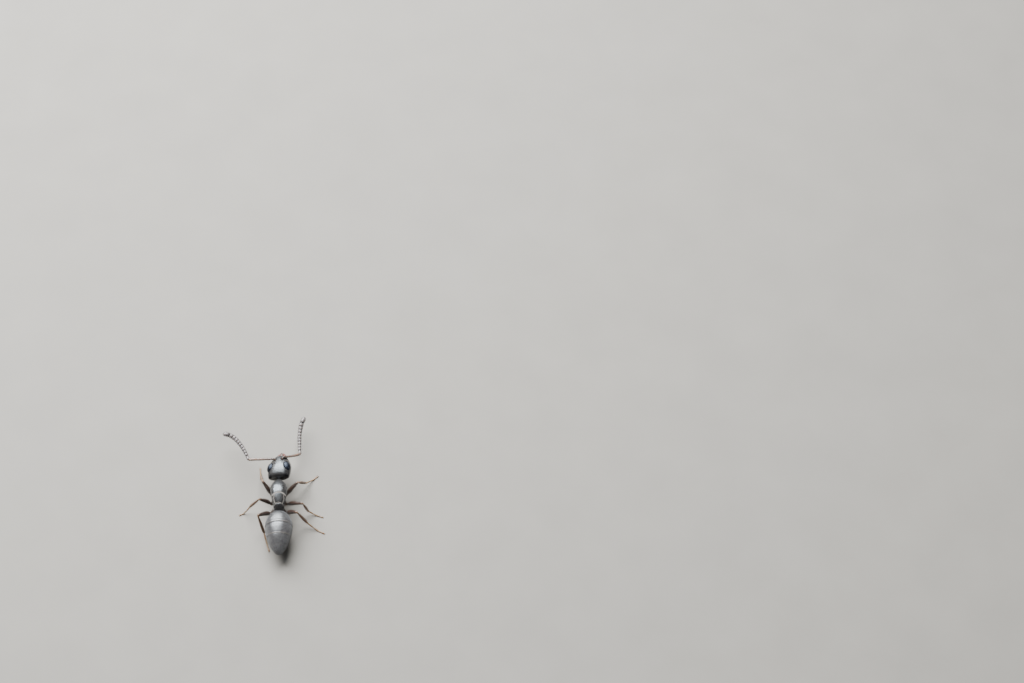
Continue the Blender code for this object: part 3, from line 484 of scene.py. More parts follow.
def head_skin():
    """Rings from the back of the head to the jaws, with the face's relief on the upper side."""
    ys = rounded(HEAD_STATIONS[0][0], HEAD_STATIONS[-1][0], HEAD_ROWS)
    rings = body_rings(HEAD_STATIONS, ys, HEAD_AROUND, HEAD_POWER)
    level = eased(ys, *zip(*[(s[0], s[3]) for s in HEAD_STATIONS]))[:, None]
    top = rings[..., 2].max(axis=1)[:, None]
    upward = np.clip((rings[..., 2] - level) / (top - level), 0, 1)
    fine, dark = face_details(rings[..., 0], rings[..., 1])
    rings[..., 2] += (face_relief(rings[..., 0], rings[..., 1]) + fine) * upward
    dark = dark * (upward > 0.2)
    out = outward(rings)
    for side in (-1, 1):
        groove = bump(eye_distance(rings, side) - 0.95, 0.08)
        rings -= out * (0.005 * groove)[..., None]
        # Painted shade in the groove round each eye.
        dark = np.maximum(dark, 0.8 * groove)
    x, y, z = np.moveaxis(rings, -1, 0)
    waves = np.sin(x * 31 + 2 * np.sin(y * 23)) * np.sin(y * 37 + z * 29)
    rings += out * (0.0008 * waves)[..., None]
    front = bump(ys - 0.345, 0.022)[:, None] * np.ones(HEAD_AROUND)
    rear_end = closing(rings[0], (0, -HEAD_BULGE[0], 0))[::-1]
    front_end = closing(rings[-1], (0, HEAD_BULGE[1], 0))
    whole = np.concatenate((rear_end, rings, front_end))
    plain = np.ones((len(rear_end), HEAD_AROUND))
    pale = np.concatenate((0 * plain, front * 0.6, 0.45 * plain))
    dark = np.concatenate((0 * plain, dark, 0.35 * plain))
    return apply_matrix(HEAD_MATRIX, whole), pale, np.clip(dark, 0, 1)


head_shell = head_skin()
hair_grounds["head"] = head_shell[0]
head_look = cuticle("head_look", HEAD_COLOURS, 0.23, gloss=2.0, glint=(0.93, 0.98, 1.0))
put_piece("head_skin", [head_shell], head_look, ["head"])


# Eyes
# Two flattened domes of black horn, each set in a shallow groove, its face a close packing of
# about a hundred small six-sided lenses.

EYE_ROWS = 96
EYE_AROUND = 216
LENS_STEP = 0.0205
LENS_RISE = 0.0022
EYE_COLOURS = ((0.004, 0.004, 0.006), (0.010, 0.011, 0.016), (0.05, 0.03, 0.02))


def lens_height(x, y):
    """Each lens is a low dome that falls by the square of the distance to its middle. The middles
    are two rectangular lattices, the second shifted by half a cell."""
    nearest = np.full(x.shape, 9.0)
    tall = LENS_STEP * math.sqrt(3)
    for shift in (0.0, 0.5):
        dx = x / LENS_STEP - shift
        dy = y / tall - shift
        off = np.hypot((dx - np.round(dx)) * LENS_STEP, (dy - np.round(dy)) * tall)
        nearest = np.minimum(nearest, off)
    share = nearest / (LENS_STEP / 2)
    return 1 - share**2, np.clip((share - 0.8) / 0.3, 0, 1)


def eye_shell(side):
    """A flattened egg in polar rings round the direction out of the face."""
    polar = np.concatenate((np.linspace(0.01, 1.75, EYE_ROWS), (2.0, 2.4, 2.8)))[:, None]
    around = (2 * math.pi * np.arange(EYE_AROUND) / EYE_AROUND)[None, :]
    unit = np.stack((np.sin(polar) * np.cos(around), np.sin(polar) * np.sin(around),
                     np.cos(polar) + 0 * around), axis=-1)
    arc = polar / (math.pi / 2)
    high, rim = lens_height(arc * np.cos(around) * 0.128, arc * np.sin(around) * 0.168)
    shown = np.clip((1.25 - polar) / 0.12, 0, 1)
    local = unit * (np.array(EYE_HALVES) + (LENS_RISE * (high - 1) * shown)[..., None])
    placed = apply_matrix(HEAD_MATRIX @ eye_place(side), local)
    return placed, 0.0, 0.7 * rim * shown


eye_look = cuticle("eye_look", EYE_COLOURS, 0.19, gloss=1.46, sheen=0.0, glint=(0.70, 0.80, 1.0))
for side, word in ((-1, "left"), (1, "right")):
    put_piece(f"eye_skin_{word}", [eye_shell(side)], eye_look, [f"eye_{word}"])


# Jaws
# Two three-cornered blades of red-brown horn, hinged at the head's front corners. Each is thick and
# round on the outside and thins to a row of teeth that meet in the middle, the tip tooth longest.

JAW_OUTER = 0.142
JAW_INNER = 0.016
JAW_MIDDLE = 0.004
JAW_LENGTH = 0.225
JAW_HEEL = 0.040
JAW_TEETH = 7
JAW_NOTCH = 0.020
JAW_HALF_THICK = 0.040
JAW_TIP_THINNING = 0.55
JAW_DROOP = 0.016
JAW_SWEEP = 3.4
JAW_ROWS = 130
JAW_AROUND = 72
JAW_ROOT_ROWS = 6
JAW_GAP = 0.006
JAW_COLOURS = ((0.035, 0.008, 0.004), (0.110, 0.023, 0.010), (0.250, 0.065, 0.030))


def jaw_shell(side):
    """Rings ahead from the hinge. The outer edge runs in by a power of the way ahead, the inner edge
    is notched by a sine, and thickness falls to nothing at the inner edge. The root rings shrink
    back into the head, and fine ribs run along the upper side."""
    front, _, _, level, _, lean = HEAD_STATIONS[-1]
    ahead = rounded(0.0, 1.0, JAW_ROWS)[:, None]
    angle = (2 * math.pi * np.arange(JAW_AROUND) / JAW_AROUND)[None, :]
    heel = JAW_HEEL / JAW_LENGTH
    outer = JAW_MIDDLE + (JAW_OUTER - JAW_MIDDLE) * (1 - ahead**JAW_SWEEP)
    tooth = np.clip((ahead - heel) / (1 - heel), 0, 1) * JAW_TEETH
    notch = JAW_NOTCH * np.abs(np.sin(math.pi * tooth)) ** 1.3 * (1 - ahead / 2)
    root = JAW_INNER + (JAW_MIDDLE - JAW_INNER) * np.clip(ahead / heel, 0, 1)
    inner = np.where(ahead < heel, root, JAW_MIDDLE + notch)
    outer = np.maximum(outer, inner + 0.004)
    part = (1 - np.cos(angle)) / 2
    thick = JAW_HALF_THICK * (1 - JAW_TIP_THINNING * ahead)
    half = thick * part**0.75 * np.sqrt(np.clip(1 - part**4, 0, None))
    z = half * np.sign(np.sin(angle)) * (np.abs(np.sin(angle)) > 1e-9)
    y = front + JAW_GAP + JAW_LENGTH * ahead + lean * z * (1 - ahead)
    x = side * (inner + (outer - inner) * part) + 0 * z
    rings = np.stack((x, y, level + z - JAW_DROOP * ahead**2), axis=-1)
    rings[..., 2] += 0.0022 * np.sin(part * 44) * (1 - ahead) * (np.sin(angle) > 0)
    back = np.linspace(0.035, 0.006, JAW_ROOT_ROWS)[:, None, None]
    pull = np.linspace(0.80, 0.98, JAW_ROOT_ROWS)[:, None, None]
    middle = rings[0].mean(axis=0)
    root_rings = (rings[:1] - np.array((0, 1, 0)) * back - middle) * pull + middle
    whole = np.concatenate((root_rings, rings))
    plain = np.ones((JAW_ROOT_ROWS, JAW_AROUND))
    edge = np.concatenate((0 * plain, (1 - part) ** 2 * (ahead > heel)))
    # Painted shade at the hinge, where the jaw meets the head; the dark inner edge with its teeth is the
    # jaw's own darker horn.
    dark = np.concatenate((0.3 * plain, 0.35 * bump(ahead, 0.10) + 0.65 * (1 - part) ** 4))
    return apply_matrix(HEAD_MATRIX, whole), 0.3 * (1 - edge), dark


jaw_look = cuticle("jaw_look", JAW_COLOURS, 0.30, glow=0.05, gloss=1.5)
for side, word in ((-1, "left"), (1, "right")):
    put_piece(f"jaw_skin_{word}", [jaw_shell(side)], jaw_look, [f"mandible_{word}"])


# Lip, lower jaws and palps
# A soft brown pad of three lobes under the head's front, from which a long outer and a short inner
# pair of jointed palps hang back under the head.

PAD_POINTS = ((0.0, 0.110, -0.162), (0.0, 0.240, -0.152), (0.0, 0.352, -0.112))
PAD_RADII = ((0.0, 0.020), (0.30, 0.046), (0.70, 0.044), (1.0, 0.022))
PAD_BROADENING = 1.5
PAD_AROUND = 56
PALP_AROUND = 18
PALPS = (
    (((0.045, 0.290, -0.150), (0.078, 0.262, -0.212), (0.100, 0.165, -0.266), (0.104, 0.030, -0.284)), 5),
    (((0.018, 0.345, -0.112), (0.026, 0.352, -0.162), (0.030, 0.300, -0.204), (0.030, 0.235, -0.222)), 3),
)
PALP_RADII = ((0.0, 0.010), (0.5, 0.0095), (0.9, 0.008), (1.0, 0.005))
MOUTH_COLOURS = ((0.100, 0.045, 0.022), (0.220, 0.105, 0.050), (0.380, 0.230, 0.120))
SPAN_STEPS = 40
CAP_RINGS = 5


def path_through(points, shares):
    """Points and directions at shares of the length of a smooth curve through `points`: each span is
    a cubic whose slopes are half the step between its neighbours."""
    keys = np.asarray(points, float)
    ends = np.vstack((2 * keys[0] - keys[1], keys, 2 * keys[-1] - keys[-2]))
    t = np.linspace(0, 1, SPAN_STEPS, endpoint=False)[:, None]
    fine = []
    for a, b, c, d in zip(ends, ends[1:], ends[2:], ends[3:]):
        fine.append(0.5 * (2 * b + (c - a) * t + (2 * a - 5 * b + 4 * c - d) * t**2
                           + (3 * b - a - 3 * c + d) * t**3))
    fine = np.vstack((*fine, keys[-1]))
    length = np.append(0, np.cumsum(np.linalg.norm(np.diff(fine, axis=0), axis=1)))
    at = np.asarray(shares, float) * length[-1]
    spots = np.stack([np.interp(at, length, fine[:, k]) for k in range(3)], axis=1)
    slope = np.gradient(fine, length, axis=0)
    aims = np.stack([np.interp(at, length, slope[:, k]) for k in range(3)], axis=1)
    return spots, aims / np.linalg.norm(aims, axis=1)[:, None]


def tube_rings(points, widths, shares, around):
    """Rings square to a curve, each side direction carried on from the ring before it. A width is
    one radius for each ring, or one for each point of each ring."""
    spots, aims = path_through(points, shares)
    side = Vector(aims[0]).orthogonal().normalized()
    sides = [side]
    for before, after in zip(aims, aims[1:]):
        side = Vector(before).rotation_difference(Vector(after)) @ side
        sides.append(side)
    sides = np.array(sides)
    others = np.cross(aims, sides)
    angle = (2 * math.pi * np.arange(around) / around)[None, :, None]
    reach = np.asarray(widths, float)
    reach = reach[..., None] if reach.ndim == 2 else reach[:, None, None]
    return spots[:, None] + reach * (np.cos(angle) * sides[:, None] + np.sin(angle) * others[:, None])


def end_caps(rings, bulge=0.6):
    """Both ends rounded off: the bulge is a share of the end ring's own radius."""
    made = [rings]
    for at, beside in ((0, 1), (-1, -2)):
        middle = rings[at].mean(axis=0)
        aim = middle - rings[beside].mean(axis=0)
        aim /= max(np.linalg.norm(aim), 1e-12)
        radius = np.linalg.norm(rings[at] - middle, axis=1).mean()
        cap = closing(rings[at], aim * radius * bulge, CAP_RINGS)
        made = [cap[::-1], *made] if at == 0 else [*made, cap]
    return np.concatenate(made)


def over_caps(marks):
    """Marks of the rings carried on over both rounded ends."""
    return np.pad(marks, CAP_RINGS, mode="edge")[:, None]


def jointed(shares, joints, depth, width):
    """Share of the full width along a limb that is nipped in at each joint by a bell."""
    nip = np.ones(len(shares))
    for k in range(1, joints):
        nip -= depth * bump(shares - k / joints, width)
    return nip


def mouth_shells():
    """The pad as a broadened tube with two furrows, and each palp as a thin jointed tube."""
    shares = np.linspace(0, 1, 60)
    angle = 2 * math.pi * np.arange(PAD_AROUND) / PAD_AROUND
    lobes = 1 - 0.07 * bump(np.cos(angle * 3 + math.pi / 2) - 1, 0.25)[None, :]
    pad = tube_rings(PAD_POINTS, eased(shares, *zip(*PAD_RADII))[:, None] * lobes, shares, PAD_AROUND)
    pad[..., 0] *= PAD_BROADENING
    shells = [(apply_matrix(HEAD_MATRIX, end_caps(pad)), 0.2, 0.0)]
    for points, joints in PALPS:
        for side in (-1, 1):
            line = [(side * x, y, z) for x, y, z in points]
            shares = np.linspace(0, 1, 70)
            width = eased(shares, *zip(*PALP_RADII)) * jointed(shares, joints, 0.32, 0.018)
            palp = end_caps(tube_rings(line, width, shares, PALP_AROUND))
            shells.append((apply_matrix(HEAD_MATRIX, palp), 0.6, 0.0))
    return shells


mouth_look = cuticle("mouth_look", MOUTH_COLOURS, 0.35, glow=0.3, gloss=1.6)
put_piece("mouth_skin", mouth_shells(), mouth_look, ["mouthparts"])


# Feelers, first joint
# A long thin rod of brown horn. Its root is a small ball on a thin neck that turns in the socket of
# the face, and it thickens a little to the elbow, where the whip is hinged.

ANTENNAE = {
    "left": ((-0.840, 1.11, 0.67), (-1.000, 1.471, 0.68), (-1.206, 1.766, 0.68), (-1.403, 1.913, 0.68),
             (-1.561, 1.930, 0.68)),
    "right": ((0.595, 1.43, 0.42), (0.583, 1.60, 0.40), (0.583, 2.02, 0.42), (0.631, 2.37, 0.46),
              (0.728, 2.595, 0.50)),
}
SCAPE_SUNK = 0.03
SCAPE_RADII = ((0.0, 0.020), (0.04, 0.024), (0.08, 0.018), (0.18, 0.025), (0.55, 0.032), (0.90, 0.036),
               (0.985, 0.034), (1.0, 0.026))
SCAPE_NECK = {
    "left": ((0.022, 0.004), (0.040, 0.030), (0.040, 0.085)),
    "right": ((0.022, 0.004), (0.050, 0.030), (0.060, 0.085)),
}
SCAPE_BOW = {"left": 0.0, "right": -0.018}
SCAPE_ROWS = 130
SCAPE_AROUND = 44
SCAPE_COLOURS = ((0.070, 0.030, 0.016), (0.150, 0.072, 0.040), (0.360, 0.225, 0.160))


def scape_line(side, word):
    """From inside the socket straight out of the face, then over to the elbow."""
    spot, out = head_surface(side * SOCKET_PLACE[0], SOCKET_PLACE[1])
    spot = HEAD_MATRIX @ spot
    out = HEAD_MATRIX.to_3x3() @ out
    elbow = Vector(ANTENNAE[word][0])
    aim = (elbow - spot).normalized()
    line = [spot - out * SCAPE_SUNK]
    for lift, along in SCAPE_NECK[word]:
        line.append(spot + out * lift + aim * along)
    return line + [line[-1].lerp(elbow, 0.5) + out * SCAPE_BOW[word], elbow]


scape_look = cuticle("scape_look", SCAPE_COLOURS, 0.26, glow=0.2, gloss=1.75)
for side, word in ((-1, "left"), (1, "right")):
    shares = np.linspace(0, 1, SCAPE_ROWS)
    rings = tube_rings(scape_line(side, word), eased(shares, *zip(*SCAPE_RADII)), shares, SCAPE_AROUND)
    hair_grounds[f"scape_{word}"] = rings
    # Painted sheen: the scape grows paler towards the elbow.
    pale = over_caps(np.clip((shares - 0.15) / 0.6, 0, 1))
    put_piece(f"scape_skin_{word}", [(end_caps(rings), pale, 0.0)], scape_look, [f"scape_{word}"])


# Feelers, whip
# Eleven bead-like joints of greyish horn, each narrow at its root and dark in the nip to the next.
# They thicken towards the tip, and the last is long and pointed.

WHIP_JOINTS = (1.5, 1.0, 1.0, 1.0, 1.0, 1.0, 1.0, 1.05, 1.1, 1.15, 2.2)
WHIP_BASE_JOINTS = 5
WHIP_SUNK = 0.012
WHIP_ROOT_RADIUS = 0.040
WHIP_TIP_RADIUS = 0.065
WHIP_SWELLING = 0.6
WHIP_BEAD = ((0.0, 0.60), (0.2, 0.92), (0.62, 1.0), (0.92, 0.93), (1.0, 0.60))
WHIP_LAST_BEAD = ((0.0, 0.60), (0.15, 0.90), (0.50, 1.0), (0.84, 0.72), (0.96, 0.40), (1.0, 0.22))
BEAD_ROWS = 26
WHIP_AROUND = 44
WHIP_COLOURS = ((0.060, 0.042, 0.036), (0.150, 0.115, 0.100), (0.320, 0.265, 0.240))


def whip_shell(word, first, last):
    """Beads `first` to `last` along the whip's curve. A bead's width follows its own profile, times
    a swelling by its place raised to 0.6."""
    elbow = Vector(ANTENNAE[word][0])
    reach = Vector(ANTENNAE[word][1]) - elbow
    whip = [elbow - reach.normalized() * WHIP_SUNK, *ANTENNAE[word][1:]]
    ends = np.append(0, np.cumsum(WHIP_JOINTS)) / sum(WHIP_JOINTS)
    count = len(WHIP_JOINTS)
    at, width, nip = [], [], []
    for k in range(first, last):
        rows = BEAD_ROWS if k < count - 1 else 2 * BEAD_ROWS
        t = rounded(0.0, 1.0, rows + 1)[: rows + (k == last - 1)]
        profile = eased(t, *zip(*(WHIP_BEAD if k < count - 1 else WHIP_LAST_BEAD)))
        grown = (k / (count - 1)) ** WHIP_SWELLING
        swell = WHIP_ROOT_RADIUS + (WHIP_TIP_RADIUS - WHIP_ROOT_RADIUS) * grown
        at.append(ends[k] + (ends[k + 1] - ends[k]) * t)
        width.append(swell * profile)
        nip.append(np.maximum(bump(t, 0.20), bump(t - 1, 0.16) * (k < count - 1)))
    rings = tube_rings(whip, np.concatenate(width), np.concatenate(at), WHIP_AROUND)
    nip = np.concatenate(nip)
    return rings, (end_caps(rings), over_caps(0.75 * (1 - nip)), over_caps(0.9 * nip))


whip_look = cuticle("whip_look", WHIP_COLOURS, 0.26, glow=0.15, gloss=1.7, sheen=0.1)
for word in ("left", "right"):
    for part, first, last in (("base", 0, WHIP_BASE_JOINTS), ("tip", WHIP_BASE_JOINTS, len(WHIP_JOINTS))):
        rings, shell = whip_shell(word, first, last)
        hair_grounds[f"whip_{part}_{word}"] = rings
        put_piece(f"whip_{part}_skin_{word}", [shell], whip_look, [f"funiculus_{part}_{word}"])


# Thorax
# Three stiff rings of almost black cuticle: the front one arched like a shield with a short neck,
# the middle one with a painted highlight along a seam on each side, the rear one that falls away to
# the waist. The rim of each laps over the front of the next.

THORAX_POWER = 2.3
PLATE_BOW = 0.5
PRONOTUM_STATIONS = (
    (0.462, 0.070, 0.682, 0.605, 0.525, 0.0),
    (0.440, 0.090, 0.702, 0.608, 0.495, 0.0),
    (0.385, 0.140, 0.748, 0.626, 0.440, 0.0),
    (0.300, 0.190, 0.800, 0.662, 0.400, 0.0),
    (0.200, 0.232, 0.845, 0.690, 0.385, -0.06),
    (0.100, 0.228, 0.865, 0.705, 0.380, -0.12),
    (0.030, 0.215, 0.864, 0.702, 0.380, -0.16),
    (-0.022, 0.200, 0.850, 0.692, 0.380, -0.20),
)
MESOTHORAX_STATIONS = (
    (-0.028, 0.197, 0.848, 0.691, 0.378, -0.20),
    (-0.120, 0.178, 0.824, 0.668, 0.372, -0.20),
    (-0.210, 0.160, 0.797, 0.636, 0.365, -0.17),
    (-0.285, 0.146, 0.770, 0.605, 0.365, -0.12),
    (-0.310, 0.140, 0.755, 0.598, 0.370, -0.10),
)
PROPODEUM_STATIONS = (
    (-0.316, 0.138, 0.750, 0.597, 0.370, -0.10),
    (-0.342, 0.144, 0.766, 0.590, 0.365, -0.08),
    (-0.392, 0.147, 0.749, 0.575, 0.360, -0.03),
    (-0.450, 0.144, 0.708, 0.555, 0.360, 0.07),
    (-0.500, 0.134, 0.655, 0.530, 0.362, 0.16),
    (-0.542, 0.112, 0.594, 0.495, 0.372, 0.22),
    (-0.568, 0.078, 0.545, 0.470, 0.390, 0.26),
    (-0.580, 0.045, 0.515, 0.460, 0.405, 0.28),
)
THORAX_AROUND = 180
RIM_THICKNESS = 0.009
RIM_DEPTH = 0.030
TONGUE_INSET = 0.013
NECK_BACK = 0.030
NECK_REACH = 0.045
NECK_DROP = 0.060
NECK_RADII = ((0.0, 0.070), (0.30, 0.064), (0.55, 0.054), (0.85, 0.045), (1.0, 0.028))
# Each: place, width, depth
BREATHING_HOLE = ((0.148, -0.455, 0.69), 0.012, 0.012)
GLAND_OPENING = ((0.120, -0.52, 0.44), 0.018, 0.010)
THORAX_COLOURS = ((0.008, 0.007, 0.007), (0.026, 0.021, 0.018), (0.500, 0.440, 0.380))


def inset(ring, depth):
    """A ring drawn in towards its middle by a distance."""
    middle = ring.mean(axis=0)
    out = ring - middle
    far = np.linalg.norm(out, axis=1, keepdims=True)
    return middle + out * (1 - np.asarray(depth) / far)


def rim_rings(ring):
    """A rolled rim at a plate's rear: a half circle inward, a wall forward, then a floor."""
    made = []
    for turn in np.linspace(0.15, 1.0, 8) * math.pi:
        depth = RIM_THICKNESS / 2 * (1 - math.cos(turn))
        made.append(inset(ring, depth) + (0, -RIM_THICKNESS / 2 * math.sin(turn), 0))
    wall = inset(ring, RIM_THICKNESS)
    made += [wall + (0, RIM_DEPTH * share, 0) for share in (0.3, 0.6, 0.9, 1.0)]
    middle = made[-1].mean(axis=0)
    made += [middle + (made[-1] - middle) * share for share in (0.8, 0.4, 0.1)]
    return np.array(made)


def tongue_rings(ring):
    """A plate's front, drawn in and slid under the rim before it: a floor, then a wall."""
    wall = [inset(ring, TONGUE_INSET) + (0, 0.022 * share, 0) for share in (1.0, 0.6, 0.3)]
    middle = wall[0].mean(axis=0)
    floor = [middle + (wall[0] - middle) * share for share in (0.1, 0.4, 0.8)]
    return np.array(floor + wall)


def plate_shell(rings, tongue, rim, pale, dark, bulge=0.012):
    """A plate's rings with its ends: tongue or rounding in front, rolled rim or rounding behind."""
    rings = rings.copy()
    if tongue:
        behind = np.linalg.norm(rings.mean(axis=1) - rings[0].mean(axis=0), axis=1)
        ease = TONGUE_INSET * np.exp(-behind / 0.010)
        rings = np.array([inset(ring, depth) for ring, depth in zip(rings, ease)])
        front = tongue_rings(inset(rings[0], -TONGUE_INSET))
    else:
        front = closing(rings[0], (0, bulge, 0))[::-1]
    rear = rim_rings(rings[-1]) if rim else closing(rings[-1], (0, -bulge, 0))
    ends = ((len(front), len(rear)), (0, 0))
    marks = [np.pad(np.broadcast_to(mark, rings.shape[:2]), ends, mode="edge") for mark in (pale, dark)]
    return np.concatenate((front, rings, rear)), *marks


def from_rear(rings):
    """Distance of each ring from the rear one: the sum of the mean steps between rings."""
    step = np.linalg.norm(np.diff(rings, axis=0), axis=2).mean(axis=1)
    far = np.append(0, np.cumsum(step))
    return (far[-1] - far)[:, None]


def thorax_rings(stations, rows):
    """A plate's rings at even steps along Y."""
    ys = np.linspace(stations[0][0], stations[-1][0], rows)
    return body_rings(stations, ys, THORAX_AROUND, THORAX_POWER, PLATE_BOW)


def ring_angle(around):
    """Degrees round a ring, from the right side over the back."""
    return (360.0 * np.arange(around) / around)[None, :]


def pronotum_shells():
    """The front ring, with a painted highlight along the rim of its back, a dark line before the rim,
    and painted shade in the seams along its sides and in a ramp over its front; and the neck, a
    narrowing tube with two folds that runs into the head, a little darker as painted shade between
    head and thorax."""
    rings = thorax_rings(PRONOTUM_STATIONS, 110)
    angle = ring_angle(THORAX_AROUND)
    back = np.clip((np.sin(np.radians(angle)) - 0.1) / 0.3, 0, 1)
    far = from_rear(rings)
    # Painted highlight along the rim of the back.
    pale = 0.9 * back * np.clip((0.030 - far) / 0.010, 0, 1)
    seam = bump(np.minimum(np.abs(angle - 332), np.abs(angle - 208)), 2.6) * bump(far - 0.18, 0.15)
    rings = rings - outward(rings) * (0.005 * seam)[..., None]
    # Painted shade in a ramp over the front and in the side seams.
    ahead = np.clip((rings[..., 1] - 0.17) / 0.07, 0, 1)
    dark = np.clip(bump(far - 0.050, 0.008) * 0.5 * back + 0.7 * seam + 0.55 * ahead, 0, 1)
    start = Vector((0, PRONOTUM_STATIONS[0][0] - NECK_BACK, PRONOTUM_STATIONS[0][3]))
    end = HEAD_MATRIX @ Vector((0, HEAD_STATIONS[0][0] + NECK_REACH, HEAD_STATIONS[0][3] - NECK_DROP))
    shares = np.linspace(0, 1, 70)
    folds = 0.05 * bump(shares - 0.55, 0.03) + 0.05 * bump(shares - 0.75, 0.03)
    width = eased(shares, *zip(*NECK_RADII)) * (1 - folds)
    neck = end_caps(tube_rings((start, start.lerp(end, 0.5), end), width, shares, 90))
    # The neck's dark mark is painted shade between head and thorax.
    return rings, [plate_shell(rings, False, True, pale, dark), (neck, 0.0, 0.2)]


def mesothorax_shell():
    """The middle ring: a painted highlight along a seam on each side of its back, bowed by a sine and
    streaked, and along its rear rim; painted shade on the disc between the seams; and a slanting
    furrow on each flank, darkened as painted shade."""
    rings = thorax_rings(MESOTHORAX_STATIONS, 90)
    angle = ring_angle(THORAX_AROUND)
    far = from_rear(rings)
    share = far / far[0]
    edge = 54 - 15 * np.sin(math.pi * share)
    side = np.minimum(np.abs(angle - edge), np.abs(angle - 180 + edge))
    # Painted highlight along each seam, streaked by a sine, and along the rear rim.
    pale = bump(side, 5.2) * (0.70 + 0.20 * np.sin(far * 90 + angle / 9))
    slant = bump(np.minimum(np.abs(angle - 350 + 30 * share), np.abs(angle - 190 - 30 * share)), 3.0)
    rear = bump(far, 0.012)
    rings = rings - outward(rings) * (0.006 * bump(side, 3.0) + 0.006 * slant)[..., None]
    back = np.clip(np.sin(np.radians(angle)), 0, 1)
    # Painted shade on the disc between the seams and in the flank furrows.
    disc = 0.45 * bump(angle - 90, 26) * np.clip(share / 0.15, 0, 1)
    return rings, plate_shell(rings, True, True, np.clip(pale + 0.9 * rear * back, 0, 1),
                              np.maximum(0.7 * slant, disc))


def propodeum_shell():
    """The rear ring, darker than the others, with a raised-lipped breathing hole high on each side
    and the opening of a gland low down, each a bell-shaped pit darkened inside as painted shade."""
    front, rear = PROPODEUM_STATIONS[0][0], PROPODEUM_STATIONS[-1][0]
    ys = front + (rear - front) * rounded(0.0, 1.0, 110)
    rings = body_rings(PROPODEUM_STATIONS, ys, THORAX_AROUND, THORAX_POWER, PLATE_BOW)
    out = outward(rings)
    dark = np.full(rings.shape[:2], 0.30)
    for side in (-1, 1):
        for (x, y, z), size, deep in (BREATHING_HOLE, GLAND_OPENING):
            off = np.linalg.norm(rings - (side * x, y, z), axis=2)
            near = off - off.min()
            hole = bump(near, size)
            lip = bump(near - 1.9 * size, 0.6 * size)
            rings = rings - out * (deep * hole - 0.004 * lip)[..., None]
            # Painted shade inside each pit.
            dark = np.maximum(dark, hole)
    return rings, plate_shell(rings, True, False, 0.0, dark, bulge=0.006)


thorax_look = cuticle("thorax_look", THORAX_COLOURS, 0.22, gloss=1.95, glint=(0.93, 0.98, 1.0))
hair_grounds["pronotum"], pronotum_parts = pronotum_shells()
hair_grounds["mesothorax"], mesothorax_part = mesothorax_shell()
hair_grounds["propodeum"], propodeum_part = propodeum_shell()
put_piece("pronotum_skin", pronotum_parts, thorax_look, ["pronotum"])
put_piece("mesothorax_skin", [mesothorax_part], thorax_look, ["mesothorax"])
put_piece("propodeum_skin", [propodeum_part], thorax_look, ["propodeum"])


# Waist
# A low slim stalk with a slight hump, hidden from above by the gaster's front. It is joined to the
# thorax and to the gaster by narrow necks.

PETIOLE_ROOT = 0.040
PETIOLE_REACH = 0.100
PETIOLE_LEVELS = (0.455, 0.452, 0.415)
PETIOLE_RADII = ((0.0, 0.040), (0.12, 0.056), (0.40, 0.066), (0.70, 0.055), (0.9, 0.050), (1.0, 0.034))
GASTER_FRONT = -0.640

waist_ys = np.linspace(PROPODEUM_STATIONS[-1][0] + PETIOLE_ROOT, GASTER_FRONT - PETIOLE_REACH, 3)
waist_line = [(0.0, y, z) for y, z in zip(waist_ys, PETIOLE_LEVELS)]
shares = np.linspace(0, 1, 70)
waist = tube_rings(waist_line, eased(shares, *zip(*PETIOLE_RADII)), shares, 80)
put_piece("waist_skin", [(end_caps(waist), 0.0, 0.0)], thorax_look, ["petiole"])


# Gaster
# Four plates round a full abdomen, dark grey-brown with a silky bloom. Each plate's thin rear rim is
# pale and laps over the next, and a furrow low on each side parts the back from the belly. The
# furrows, a line before each rim and the front of the first plate are darkened as painted shade.

GASTER_STATIONS = (
    (-0.640, 0.100, 0.605, 0.520, 0.450, 0.60),
    (-0.665, 0.190, 0.690, 0.520, 0.380, 0.60),
    (-0.710, 0.265, 0.765, 0.520, 0.320, 0.52),
    (-0.800, 0.338, 0.825, 0.520, 0.255, 0.36),
    (-0.930, 0.377, 0.850, 0.520, 0.205, 0.15),
    (-1.050, 0.378, 0.850, 0.515, 0.190, 0.05),
    (-1.200, 0.350, 0.825, 0.510, 0.200, 0.00),
    (-1.360, 0.308, 0.772, 0.500, 0.232, -0.05),
    (-1.520, 0.250, 0.700, 0.485, 0.280, -0.05),
    (-1.660, 0.182, 0.622, 0.475, 0.336, -0.05),
    (-1.755, 0.112, 0.555, 0.465, 0.386, 0.00),
    (-1.800, 0.052, 0.502, 0.460, 0.424, 0.00),
)
GASTER_POWER = 2.1
GASTER_CUTS = (-0.98, -1.284, -1.583)
GASTER_AROUND = 260
GASTER_ROWS = (110, 76, 70, 80)
GASTER_CROWDING = 1.6
RIM_PALENESS = (0.3, 0.5, 0.15, 0.0)
PLATE_STEP = 0.03
GASTER_COLOURS = ((0.020, 0.018, 0.017), (0.055, 0.049, 0.046), (0.260, 0.200, 0.150))


